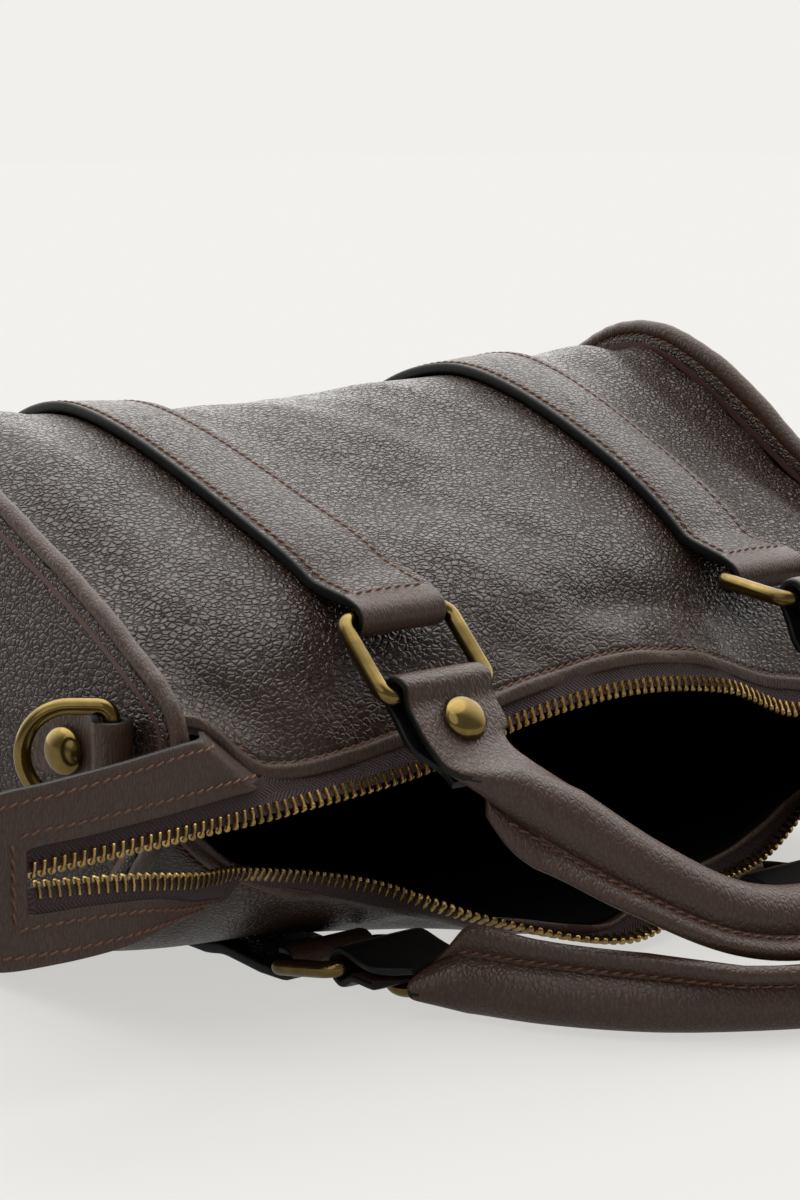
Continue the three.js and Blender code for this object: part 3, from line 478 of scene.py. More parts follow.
def lathe(profile, position, axis, sides=32):
    """Profile of [radius, height] turned round an axis; its ends lie on the axis and get fans."""
    axis = unit(np.asarray(axis, float))
    side = unit(np.cross(axis, [0.31, 0.62, 0.27]))
    angle = np.linspace(0, 2 * math.pi, sides, endpoint=False)[:, None]
    spoke = side * np.cos(angle) + np.cross(axis, side) * np.sin(angle)
    rings = np.asarray(position) + profile[1:-1, :1, None] * spoke + profile[1:-1, 1:, None] * axis
    poles = np.asarray(position) + profile[[0, -1], 1:] * axis
    points = np.concatenate([rings.reshape(-1, 3), poles])
    count = len(rings) * sides
    j = np.arange(sides)
    fans = [[count, (k + 1) % sides, k] for k in j]
    fans += [[count + 1, count - sides + k, count - sides + (k + 1) % sides] for k in j]
    return shell(points, quads_of(len(rings), sides, False, True), fans)


def stitches(path, normals, slant=0.26):
    """Row of thread along a path: one short bowed bar for each needle hole, with its ends in the leather.

    A bar is five six-sided rings. It lies along the path, turned a little to the side, on the normals.
    """
    run = lengths(path)
    pitch, radius = mm("stitch_pitch"), mm("thread") / 2
    count = int(run[-1] // pitch)
    at = (run[-1] - count * pitch) / 2 + pitch * (np.arange(count) + 0.5)
    forward = unit(at_lengths(tangents(path), run, at))
    up = at_lengths(normals, run, at)
    up = unit(up - forward * np.sum(up * forward, axis=-1, keepdims=True))
    along = unit(forward + slant * np.cross(up, forward))
    where = np.array([-0.5, -0.36, 0.0, 0.36, 0.5]) * pitch * 0.9
    thick = np.array([0.5, 0.92, 1.0, 0.92, 0.5]) * radius
    rise = np.array([-0.75, 0.05, 0.42, 0.05, -0.75]) * radius
    angle = np.linspace(0, 2 * math.pi, 6, endpoint=False)
    bar = np.stack([np.broadcast_to(where[:, None], (5, 6)), thick[:, None] * np.cos(angle),
                    rise[:, None] + thick[:, None] * np.sin(angle)], axis=-1)
    return copies(bar, at_lengths(path, run, at), (along, np.cross(up, along), up))


def add_piece(name, shells, finishes, stands_for=(), rides="bag", sharp=50):
    """Joins shells into one mesh object at the origin, gives it its finishes and sets it on its body."""
    starts = np.cumsum([0] + [len(s["points"]) for s in shells])
    points = np.concatenate([s["points"] for s in shells]) * MM + SHIFT
    faces, paint = [], []
    for s, start in zip(shells, starts):
        faces += (s["quads"] + start).tolist() + [[k + int(start) for k in face] for face in s["polygons"]]
        paint += s["paint"].tolist() + [min(len(finishes) - 1, int(s["paint"].max()))] * len(s["polygons"])
    mesh = bpy.data.meshes.new(name)
    mesh.from_pydata(points.tolist(), [], faces)
    for material in finishes:
        mesh.materials.append(material)
    mesh.polygons.foreach_set("material_index", np.minimum(paint, len(finishes) - 1).astype(np.int32))
    if shells[0]["uv"] is not None:
        corners = np.empty(len(mesh.loops), np.int32)
        mesh.loops.foreach_get("vertex_index", corners)
        flat = np.concatenate([s["uv"] for s in shells])[corners].astype(np.float32)
        mesh.uv_layers.new(name="weave").data.foreach_set("uv", flat.ravel())
    mesh.shade_smooth()
    mesh.set_sharp_from_angle(angle=math.radians(sharp))
    mesh.update()
    piece = bpy.data.objects.new(name, mesh)
    bpy.context.scene.collection.objects.link(piece)
    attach(piece, rides)
    if stands_for:
        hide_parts(*stands_for)
    return piece


# Finishes

def set_inputs(tree, made, inputs):
    """Links each named or numbered input of a node to a socket, or sets its value."""
    for key, value in inputs.items():
        if isinstance(value, bpy.types.NodeSocket):
            tree.links.new(value, made.inputs[key])
        else:
            made.inputs[key].default_value = value


def node(tree, kind, inputs=(), output=0, **settings):
    """Adds a shader node, sets its options and inputs, and gives one of its outputs, or all for None."""
    made = tree.nodes.new("ShaderNode" + kind)
    for key, value in settings.items():
        setattr(made, key, value)
    set_inputs(tree, made, dict(inputs))
    return made.outputs if output is None else made.outputs[output]


def finish(name):
    """Turns a function that gives a shader's inputs into one that makes the named material once."""
    def named(inputs_of):
        @functools.wraps(inputs_of)
        def material():
            made = bpy.data.materials.get(name)
            if not made:
                made = bpy.data.materials.new(name)
                made.use_nodes = True
                tree = made.node_tree
                set_inputs(tree, tree.nodes["Principled BSDF"], inputs_of(tree))
            return made
        return material
    return named


def shade(rgba, share):
    """A colour made darker or lighter by a share."""
    return (*[min(v * share, 1.0) for v in rgba[:3]], 1.0)


def two_tone(tree, factor, base, dark, light):
    """A colour that goes from a dark to a light share of its base with the factor."""
    mixed = {"Factor": factor, 6: shade(base, dark), 7: shade(base, light)}
    return node(tree, "Mix", mixed, 2, data_type="RGBA")


def blotches(tree, size, detail):
    """Cloudy noise from 0 to 1 whose largest patches are about size millimetres wide."""
    place = node(tree, "TexCoord", output="Object")
    return node(tree, "TexNoise", {"Vector": place, "Scale": 1 / (size * MM), "Detail": detail}, "Fac")


def leather(tree, base, grain, stretch, depth, crease, rough, smooth_hem=False):
    """Cow leather, embossed and finished with a satin dye.

    The eye gets small flat-topped pebbles with a soft shine and bright flecks, parted by thin creases and
    drawn out along the hide. The creases are darkened with painted shade and reflect less. grain is the width
    of a pebble and depth the height of its relief, both in millimetres. crease is the share of the colour
    that the painted shade leaves in the creases. smooth_hem lets the relief fade towards the front hem, where
    the leather is pulled tight.
    """
    place = node(tree, "TexCoord", output="Object")
    scale = tuple(1 / (grain * MM * s) for s in stretch)
    cells = node(tree, "Mapping", {"Vector": place, "Scale": scale})
    drift = node(tree, "TexNoise", {"Vector": cells, "Scale": 0.8, "Detail": 1.0}, "Color")
    wander = node(tree, "VectorMath", {0: drift, 1: (0.8, 0.8, 0.8), 2: cells}, operation="MULTIPLY_ADD")
    edge = node(tree, "TexVoronoi", {"Vector": wander, "Scale": 1.0}, feature="DISTANCE_TO_EDGE")
    pebble = node(tree, "MapRange", {0: edge, 2: 0.27}, interpolation_type="SMOOTHSTEP")
    flecks = node(tree, "TexNoise", {"Vector": wander, "Scale": 1.7, "Detail": 2.0}, "Fac")
    patch = blotches(tree, 34, 2.0)
    bold = node(tree, "MapRange", {0: patch, 1: 0.36, 2: 0.64, 3: 0.75, 4: 1.0})
    if smooth_hem:
        rise = node(tree, "VectorMath", {0: place, 1: (0.0, 0.4, 1.0)}, "Value", operation="DOT_PRODUCT")
        tight = node(tree, "MapRange", {0: rise, 1: 54 * MM, 2: 86 * MM, 3: 0.4, 4: 1.0},
                     interpolation_type="SMOOTHSTEP")
        bold = node(tree, "Math", {0: bold, 1: tight}, operation="MULTIPLY")
    rough_top = node(tree, "Math", {0: flecks, 1: 0.9, 2: pebble}, operation="MULTIPLY_ADD")
    height = node(tree, "Math", {0: rough_top, 1: bold}, operation="MULTIPLY")
    # Painted shade: the colour is darkened in the creases between the pebbles, and the reflection is lowered
    # there.
    painted_crease_shade = node(tree, "MapRange", {0: edge, 2: 0.13, 3: 1 - crease, 4: 0.0})
    dark = node(tree, "Math", {0: painted_crease_shade, 1: bold}, operation="MULTIPLY")
    tone = node(tree, "MapRange", {0: patch, 1: 0.3, 2: 0.7, 3: 0.88, 4: 1.14})
    share = node(tree, "Math", {0: tone, 1: dark}, operation="SUBTRACT", use_clamp=True)
    return {
        "Base Color": node(tree, "VectorMath", {0: base[:3], "Scale": share}, operation="SCALE"),
        "Roughness": node(tree, "Math", {0: dark, 1: 0.4, 2: rough}, operation="MULTIPLY_ADD"),
        "Specular IOR Level": node(tree, "Math", {0: dark, 1: -0.5, 2: 0.5}, operation="MULTIPLY_ADD",
                                   use_clamp=True),
        "Normal": node(tree, "Bump", {"Height": height, "Distance": depth * MM, "Strength": 1.0}),
    }


@finish("Pebbled cow leather")
def body_leather(tree):
    """Body hide: pebbles of about 1.9 by 1.4 mm, drawn out along the bag, smooth at the front hem."""
    return leather(tree, colour("leather"), mm("grain"), (1.35, 1.0, 1.0), 0.34, 0.12, 0.27, True)


@finish("Pebbled end leather")
def end_leather(tree):
    """End hide: the body's leather, left slack so that its pebbles stay bold all over."""
    return leather(tree, colour("leather"), mm("grain"), (1.0, 1.3, 1.0), 0.24, 0.35, 0.36)


@finish("Pressed strap leather")
def strap_leather(tree):
    """Strap hide: the same leather pressed flatter by the sewing."""
    return leather(tree, colour("leather"), mm("grain"), (1.35, 1.0, 1.0), 0.24, 0.3, 0.33)


@finish("Rolled handle leather")
def handle_leather(tree):
    """Handle hide: the same leather rolled tight, its pebbles drawn into short wrinkles. Its trim colour is
    lightened as painted light.
    """
    return leather(tree, colour("trim"), mm("grain"), (0.8, 1.0, 1.8), 0.1, 0.75, 0.35)


@finish("Smooth trim leather")
def trim_leather(tree):
    """Trim hide: the smooth side of the same leather, with fine short wrinkles. Its colour is lightened as
    painted light.
    """
    return leather(tree, colour("trim"), mm("grain") * 0.8, (0.6, 1.2, 2.6), 0.07, 0.7, 0.38)


@finish("Bare cut leather")
def bare_edge(tree):
    """Cut leather left bare and waxed: a thin reddish brown line beside the dyed face."""
    return {"Base Color": colour("bare"), "Roughness": 0.5}


@finish("Acrylic edge paint")
def edge_paint(tree):
    """Acrylic edge paint brushed on cut leather: a near-black skin with a soft shine. On the flaps behind the
    handle tabs it is painted shade.
    """
    strokes = blotches(tree, 1.6, 3.0)
    bump = node(tree, "Bump", {"Height": strokes, "Distance": 0.12 * MM, "Strength": 0.6})
    return {"Base Color": colour("paint"), "Roughness": 0.45, "Specular IOR Level": 0.3, "Normal": bump}


def brass(tree, base, rough, age_size):
    """Cast brass, polished and then darkened: warm metal with browner patches where the wash stayed."""
    aged = node(tree, "MapRange", {0: blotches(tree, age_size, 4.0), 1: 0.36, 2: 0.66})
    gloss = node(tree, "MapRange", {0: aged, 3: rough + 0.14, 4: rough})
    return {"Base Color": two_tone(tree, aged, base, 0.6, 1.12), "Roughness": gloss, "Metallic": 1.0}


@finish("Antique brass")
def antique_brass(tree):
    """Brass of the rings, D-rings and rivets."""
    return brass(tree, colour("brass"), 0.13, 7)


@finish("Polished zip brass")
def zip_brass(tree):
    """Brass of the teeth and the slider, kept bright by use."""
    return brass(tree, colour("zip_brass"), 0.22, 2.5)


@finish("Bonded polyester thread")
def sewing_thread(tree):
    """Bonded polyester thread, twisted: a waxy rust brown, darker and lighter in small random patches."""
    twist = blotches(tree, 1.1, 2.0)
    return {"Base Color": two_tone(tree, twist, colour("thread"), 0.45, 1.3), "Roughness": 0.55}


@finish("Herringbone zip tape")
def zip_tape(tree):
    """Polyester zip tape, woven in herringbone: slanted ribs that turn back every 2.2 mm across the tape.

    The ribs are drawn 1.1 mm apart, about twice the real spacing, because finer ones do not show. Their tops
    are painted lighter and the hollows between them darker: painted highlight and painted shade.
    """
    half_rib = 0.55
    weave = node(tree, "UVMap", uv_map="weave")
    along, across, _ = node(tree, "SeparateXYZ", {0: weave}, None)
    turn = node(tree, "Math", {0: across, 1: 2.2}, operation="PINGPONG")
    slope = node(tree, "Math", {0: along, 1: turn}, operation="ADD")
    rib = node(tree, "Math", {0: slope, 1: half_rib}, operation="PINGPONG")
    high = node(tree, "MapRange", {0: rib, 2: half_rib}, interpolation_type="SMOOTHSTEP")
    bump = node(tree, "Bump", {"Height": high, "Distance": 0.25 * MM, "Strength": 1.0})
    # Painted highlight and shade: the tape's colour runs from 0.3 of itself in the hollows to 1.35 on the rib
    # tops.
    return {"Base Color": two_tone(tree, high, colour("tape"), 0.3, 1.35), "Roughness": 0.72, "Normal": bump}


@finish("Black cotton twill")
def lining_cloth(tree):
    """Cotton twill lining, dyed black: matt with a faint diagonal rib 0.8 mm apart."""
    place = node(tree, "TexCoord", output="Object")
    ribs = node(tree, "TexWave", {"Vector": place, "Scale": 1 / (0.8 * MM) / 6.28, "Distortion": 0.4}, "Fac",
                bands_direction="DIAGONAL")
    bump = node(tree, "Bump", {"Height": ribs, "Distance": 0.1 * MM, "Strength": 0.7})
    return {"Base Color": colour("lining"), "Roughness": 0.85, "Specular IOR Level": 0.1, "Normal": bump}


@finish("Backlit matt acrylic")
def floor_acrylic(tree):
    """Matt acrylic sheet, sanded and lit from below: pale to the camera, with less light on the bag."""
    seen = node(tree, "LightPath", output="Is Camera Ray")
    glow = node(tree, "MapRange", {0: seen, 3: 0.34, 4: 0.65})
    return {"Base Color": shade(colour("floor"), 0.21), "Roughness": 0.9, "Specular IOR Level": 0.0,
            "Emission Color": colour("floor"), "Emission Strength": glow}


# Pieces

def edge_row(x, inset, from_lip):
    """Path and normals on the body at an inset from the hem or the lip, measured square to the edge."""
    places = np.linspace(LAST_PLACE, LAST_PLACE - 1.2, 60) if from_lip else np.linspace(0, 1.2, 60)
    grid = skin(x, places)
    distance = inset * np.sqrt(1 + np.gradient(grid[:, 0, 2], x) ** 2)
    place = np.array([np.interp(d, run, places) for d, run in zip(distance, lengths(grid))])[:, None]
    return skin(x, place, relief(x, place) - 0.3)[:, 0], body_normals(x, place)[:, 0]


class CARGOBAG_OT_body(bpy.types.Operator):
    """Build the body leather, one wrap from the front hem to the back lip, with its hem stitching"""

    bl_idname = "cargobag.body"
    bl_label = "Body"

    def execute(self, context):
        """Outside: the dented skin with its slack and turned edges. Inside: a wall deeper, more at the edges.

        The distance to an edge is the length round the section, divided by the slant of the edge.
        """
        to_edge = 0.8
        x = np.linspace(-PANEL_END, PANEL_END, 170)
        place = np.concatenate([np.linspace(0.03, 0.27, 24), np.linspace(0.27, 8.75, 165)[1:-1],
                                np.linspace(8.75, LAST_PLACE - 0.022, 28)])
        slack = relief(x, place)
        flat = skin(x, place, slack)
        run = lengths(flat)
        slant = np.sqrt(1 + np.gradient(flat[:, [0, -1], 2], x, axis=0) ** 2)
        from_hem = to_edge + run / slant[:, :1]
        from_lip = to_edge + (run[:, -1:] - run) / slant[:, 1:]
        band = np.minimum(from_hem, from_lip)
        outer = skin(x, place, slack + hem_swell(from_hem) + hem_swell(from_lip))
        turned = 1 - smooth_step(4, 9, band)
        inner = skin(x, place, slack - mm("wall") - (mm("hem_wall") - mm("wall")) * turned)
        for grid in (outer, inner):
            grid[..., 2] = np.maximum(grid[..., 2], REST_HEIGHT * 0.5)
        body = slab(outer, inner, 5)
        faces = np.ones((len(x) - 1, len(body["points"]) // len(x)), int)
        faces[:, :len(place) - 1] = (band[:-1, :-1] + band[1:, 1:]) / 2 < HEM_SEAM
        body["paint"][:faces.size] = faces.ravel()
        body["paint"][faces.size:] = 0
        add_piece("body_panel", [body], [body_leather(), trim_leather()], ["main_panel"])
        along = np.linspace(-PANEL_END + 2, PANEL_END - 2, 500)
        rows = [stitches(*edge_row(along, HEM_SEAM, from_lip)) for from_lip in (False, True)]
        add_piece("hem_stitching", rows, [sewing_thread()])
        return {"FINISHED"}


def seam_loop(side, per_key):
    """Closed outline of an end seam and its outward directions, through the end section and the apex."""
    keys = np.vstack([SECTION_KEYS[0 if side < 0 else -1], SEAM_APEX])
    yz = through_keys(keys, np.arange(len(keys) * per_key) / per_key, True)
    return yz, quarter_turned(tangents(yz, True))


def end_sheet(side, rim, share, bulge, lifts):
    """Sheet over an end of the bag: its rim shrunk to the middle in rings that stand out by bulge.

    The two lifts are its outer and its inner face.
    """
    faces = []
    for lift in lifts:
        grid = np.empty((len(share), len(rim), 3))
        grid[..., 0] = side * (SEAM_X + bulge + lift)
        grid[..., 1:] = END_CENTRE + (rim - END_CENTRE) * share[..., None]
        faces.append(grid)
    return tube(np.concatenate([faces[0][::-1], faces[1]]))


class CARGOBAG_OT_ends(bpy.types.Operator):
    """Build the end gussets and the raised bindings round them"""

    bl_idname = "cargobag.ends"
    bl_label = "Ends and bindings"

    def execute(self, context):
        for side, name in SIDES:
            yz, out = seam_loop(side, 26)
            self.binding(side, name, yz, out)
            self.gusset(side, name, yz, out)
        return {"FINISHED"}

    def binding(self, side, name, yz, out):
        """Binding: a pebbled band, a sewn groove and a smooth round bead on top, carried round the seam.

        The bead is lightly wrinkled. The right binding stands higher by a Gaussian in the place on the seam.
        """
        bead_radius, bead_height, bead_foot, top, groove, sewn_in = 2.15, 4.85, 3, 7, 2.75, 1.55
        turn = np.radians(np.linspace(-58, 238, 17))
        flank = np.array([(1.75, -1.0), (1.95, 0.7), (2.0, 1.3), (1.85, 2.5), (1.35, 3.0)])
        bead = np.stack([bead_radius * np.cos(turn), bead_height + bead_radius * np.sin(turn)], axis=-1)
        profile = np.concatenate([flank, bead, (flank * (-1, 1))[::-1]])
        run = lengths(yz)
        wrinkle = 0.12 * np.sin(run * 0.9 + 2 * np.sin(run * 0.17)) + 0.16 * np.sin(run * 0.31 + side)
        across, height = profile[:, 0], profile[:, 1]
        on_bead = wrinkle[:, None] * (height > bead_foot)
        place = np.arange(len(yz)) * (LAST_PLACE + 2) / len(yz)
        middle, sigma, rise = RIM_SWELL
        higher = 1 + rise * np.exp(-0.5 * ((place - middle) / sigma) ** 2) * (side > 0) / top
        lift = height * higher[:, None] + on_bead * 0.7
        rings = np.empty((len(yz), len(profile), 3))
        rings[..., 0] = side * SEAM_X + across * (1 + 0.05 * on_bead)
        rings[..., 1:] = yz[:, None] + out[:, None] * lift[..., None]
        paint = np.zeros((len(yz), len(profile)), int)
        paint[:, :4] = paint[:, -5:] = 1
        paint[:, 0] = paint[:, -2] = 2
        add_piece(f"binding_{name}", [tube(rings, True, paint.ravel())],
                  [trim_leather(), strap_leather(), bare_edge()], [f"edge_binding_{name}"])
        sewn = yz + out * (groove * higher)[:, None]
        path = np.empty((len(yz) + 1, 3))
        path[:, 0] = side * (SEAM_X - sewn_in)
        path[:, 1:] = np.vstack([sewn, sewn[:1]])
        inward = np.tile([-float(side), 0.0, 0.0], (len(path), 1))
        add_piece(f"binding_stitching_{name}", [stitches(path, inward)], [sewing_thread()])

    def gusset(self, side, name, yz, out):
        """Gusset: an end sheet that bulges as 1 - share^2, with soft slack waves, sines round the outline."""
        share = np.concatenate([[1.0], np.linspace(0.985, 0.03, 34)])[:, None]
        turn = np.linspace(0, 2 * math.pi, len(yz), endpoint=False)
        slack = 2.7 * np.sin(3 * turn + 0.6) * share ** 2 + 2 * np.sin(7 * turn + 2) * share ** 4
        bulge = 8 * (1 - share ** 2) + slack * (1 - share)
        sheet = end_sheet(side, yz - out * 1.2, share, bulge, (mm("wall") / 2, -mm("wall") / 2))
        add_piece(f"gusset_{name}", [sheet], [end_leather()], [f"end_panel_{name}"])


class CARGOBAG_OT_lining(bpy.types.Operator):
    """Build the dark cloth inside the body"""

    bl_idname = "cargobag.lining"
    bl_label = "Lining"

    def execute(self, context):
        """Cloth inside the body, closer at the mouth, and at each end a sheet that bulges as 1 - share^2."""
        x = np.linspace(-SEAM_X + 1.0, SEAM_X - 1.0, 70)
        place = np.linspace(0.08, LAST_PLACE - 0.04, 110)
        inset = 3.0 + 1.6 * smooth_step(0.1, 0.8, np.minimum(place, LAST_PLACE - place))
        cloth = slab(skin(x, place, -inset), skin(x, place, -inset - CLOTH), 2)
        cloth["paint"][:] = 0
        shells = [cloth]
        share = np.linspace(1, 0.03, 10)[:, None]
        bulge = 6 * (1 - share ** 2) - 2.4
        for side, _ in SIDES:
            yz, out = seam_loop(side, 8)
            shells.append(end_sheet(side, yz - out * 4.6, share, bulge, (0.0, -CLOTH)))
        add_piece("lining_cloth", shells, [lining_cloth()], ["lining"])
        return {"FINISHED"}


def strap_paths(side, name, across):
    """Middle line of a strap's leather for each place across it, [y, z], in even steps, and its length.

    It starts in the front fold, follows the body at a small lift and ends in the back fold. A fold is an arc
    round the ring's bar, from the side of the body's outside over the bar's far side. Three averages of each
    point and its neighbours even out the joins.
    """
    places = np.linspace(1.25, 7.75, 150)
    laid = skin(side * STRAP_CENTRE + across, places, GAP + mm("strap_wall") / 2)[..., 1:]
    angle = np.radians(np.linspace(80, -120, 30))[:, None]

    def hook(bar, start, toward):
        forward = unit(np.asarray(bar) - start)[:, None]
        lift = quarter_turned(forward) * toward
        return np.asarray(bar) + FOLD_RADIUS * (forward * np.cos(angle) + lift * np.sin(angle))

    front = hook(RING_BARS[f"front_{name}"][1], laid[:, 0], -1)[:, ::-1]
    back = hook(RING_BARS[f"back_{name}"][1], laid[:, -1], 1)
    rough = np.concatenate([front, laid, back], axis=1)
    even = np.linspace(0, 1, 300)
    path = np.stack([at_lengths(line, run, even * run[-1]) for line, run in zip(rough, lengths(rough))])
    for _ in range(3):
        path[:, 1:-1] = (path[:, :-2] + 2 * path[:, 1:-1] + path[:, 2:]) / 4
    return path, lengths(path[len(across) // 2])


class CARGOBAG_OT_straps(bpy.types.Operator):
    """Build the strap bands with painted edges and two rows of stitching"""

    bl_idname = "cargobag.straps"
    bl_label = "Straps"

    def execute(self, context):
        for side, name in SIDES:
            self.strap(side, name)
        return {"FINISHED"}

    def strap(self, side, name):
        """Strap: a sheet along its middle line, thicker on the body, padded as 1 - t^2, with two grooves."""
        half = mm("strap_width") / 2
        row = half - 1.9
        across = np.concatenate([[-half + 1], np.linspace(-half + 1.4, half - 1.4, 25), [half - 1]])
        path, run = strap_paths(side, name, across)
        fold = FOLD_RADIUS * math.radians(200)
        to_end = np.minimum(run, run[-1] - run)
        on_body = smooth_step(fold - 1, fold + 5, to_end)
        normal = quarter_turned(unit(np.gradient(path, axis=1)))
        third = len(run) // 3
        if np.mean(normal[:, third, 1]) < 0:
            normal = -normal
        wall = (FOLD_LEATHER + (mm("strap_wall") - FOLD_LEATHER) * on_body)[None, :, None]
        padding = 0.6 * (1 - (across / half) ** 2) - 0.25 * bell(np.abs(across), row, 0.7)
        raised = wall / 2 + (padding[:, None] * on_body)[..., None]
        x = np.broadcast_to((side * STRAP_CENTRE + across)[:, None, None], path.shape[:-1] + (1,))
        top = np.concatenate([x, path + normal * raised], axis=-1).swapaxes(0, 1)
        bottom = np.concatenate([x, path - normal * wall / 2], axis=-1).swapaxes(0, 1)
        for grid in (top, bottom):
            grid[..., 2] = np.maximum(grid[..., 2], 0.0)
        band = slab(top, bottom, 6)
        faces = band["paint"][:len(band["paint"]) - 2 * (len(across) - 1)].reshape(len(run) - 1, -1)
        faces[(to_end[:-1, None] < fold + 2.5) & (faces == 0)] = 2
        add_piece(f"strap_band_{name}", [band], [strap_leather(), edge_paint(), trim_leather()],
                  [f"strap_{name}"])
        out = np.concatenate([np.zeros_like(x), normal], axis=-1).swapaxes(0, 1)
        sewn = np.flatnonzero(to_end > fold + 3)
        columns = [int(np.argmin(np.abs(across - offset))) for offset in (-row, row)]
        inside = np.abs(across) <= row
        lines = [stitches(top[sewn, column], out[sewn, column]) for column in columns]
        lines += [stitches(top[end, inside], out[end, inside]) for end in (sewn[0], sewn[-1])]
        add_piece(f"strap_stitching_{name}", lines, [sewing_thread()])


class CARGOBAG_OT_rings(bpy.types.Operator):
    """Build the four rectangular rings between straps and handles"""

    bl_idname = "cargobag.rings"
    bl_label = "Rings"

    def execute(self, context):
        """A ring is a round wire on a rectangle with quarter-round corners, from the held to the free bar."""
        corner = 3.5
        quarter = np.radians(np.linspace(-90, 0, 9))
        for name, (side, held, free) in RING_BARS.items():
            down = np.array([0.0, free[0] - held[0], free[1] - held[1]])
            reach = np.linalg.norm(down)
            down = down / reach
            arcs = []
            for sideways, far, start in ((1, 0, 0), (1, 1, 90), (-1, 1, 180), (-1, 0, 270)):
                angle = quarter + math.radians(start)
                u = sideways * (mm("ring_width") / 2 - corner) + corner * np.cos(angle)
                v = (reach - corner if far else corner) + corner * np.sin(angle)
                arcs.append(np.stack([u, v], axis=-1))
            flat = np.concatenate(arcs)
            middle = np.array([side * STRAP_CENTRE, *held])
            path = middle + flat[:, :1] * np.array([1.0, 0, 0]) + flat[:, 1:] * down
            ring = wire(path, np.cross([1.0, 0, 0], down), mm("ring_wire") / 2)
            add_piece(f"square_ring_{name}", [ring], [antique_brass()], [f"ring_{name}"])
        return {"FINISHED"}


def handle_fold(ring, flap, down, outward):
    """Line of a handle's fold over its ring, [y, z]: flap behind, half a turn over the bar, tab in front.

    The flap's share of the full width drops to 0.6 where it runs into the roll.
    """
    per_span = 4
    bar, down, outward = np.asarray(RING_BARS[ring][2]), np.asarray(down), np.asarray(outward)
    turn = np.radians(np.linspace(-90, 90, 9))
    over = bar + TAB_FOLD * (-down * np.cos(turn)[:, None] + outward * np.sin(turn)[:, None])
    flap = np.asarray(flap, float)
    flap = bar + flap[:, :1] * down + flap[:, 1:] * outward
    tab = bar + np.array([[3.6], [RIVET_DROP], [16.2]]) * down + TAB_LIFT * outward
    rivet = bar + RIVET_DROP * down + (TAB_LIFT + mm("tab_wall") / 2 + GAP) * outward
    line = smooth_path(np.concatenate([flap, over, tab]), per_span)
    behind = np.arange(len(line)) < per_span * len(flap)
    share = 1 - 0.4 * smooth_step(10, 20, (line - bar) @ down) * behind
    return line, rivet, share, np.count_nonzero(behind)


def handle_rings(points, along, sideways, rounds, lean, widths):
    """Handle sections: a flat tab, a superellipse, that turns into a circle with a sewn flange behind it.

    rounds blends the tab into the circle, and lean turns circle and flange. The flange grows in the second
    half of rounds and stands highest 13 mm into the roll, by a Gaussian in the length.
    """
    normal = unit(np.cross(along, sideways))
    angle = np.radians(ROLL_DEGREES)
    radius, half_wall = mm("roll_radius"), mm("tab_wall") / 2
    circle = np.stack([np.cos(angle), np.sin(angle)], axis=-1)
    count = 2 * len(FLANGE_REACH)
    tab = np.sign(circle) * np.abs(circle) ** 0.35 * (mm("strap_width") / 2, half_wall)
    under = np.stack([np.linspace(-2, 2, count), np.full(count, -half_wall)], axis=-1)
    flat = np.concatenate([tab, under])
    run = lengths(points)
    rolled = run[rounds > 0.5]
    from_end = np.minimum(run - rolled[0], rolled[-1] - run)
    growth = (smooth_step(0.5, 0.95, rounds) * (1 + 0.28 * bell(from_end, 13, 10)))[:, None]
    hang = -radius - growth * np.concatenate([FLANGE_REACH, FLANGE_REACH[::-1]])
    wide = np.broadcast_to(np.concatenate([-FLANGE_HALF, FLANGE_HALF[::-1]]), hang.shape)
    rim = np.broadcast_to(radius * circle.T, (len(rounds), 2, len(angle)))
    u, v = np.concatenate([rim[:, 0], wide], axis=1), np.concatenate([rim[:, 1], hang], axis=1)
    cos, sin = np.cos(lean)[:, None], np.sin(lean)[:, None]
    turned = np.stack([u * cos - v * sin, u * sin + v * cos], axis=-1)
    flat = flat * np.stack([widths, np.ones_like(widths)], axis=-1)[:, None]
    profile = flat + (turned - flat) * rounds[:, None, None]
    rings = points[:, None] + profile[..., :1] * sideways[:, None] + profile[..., 1:] * normal[:, None]
    return rings, normal


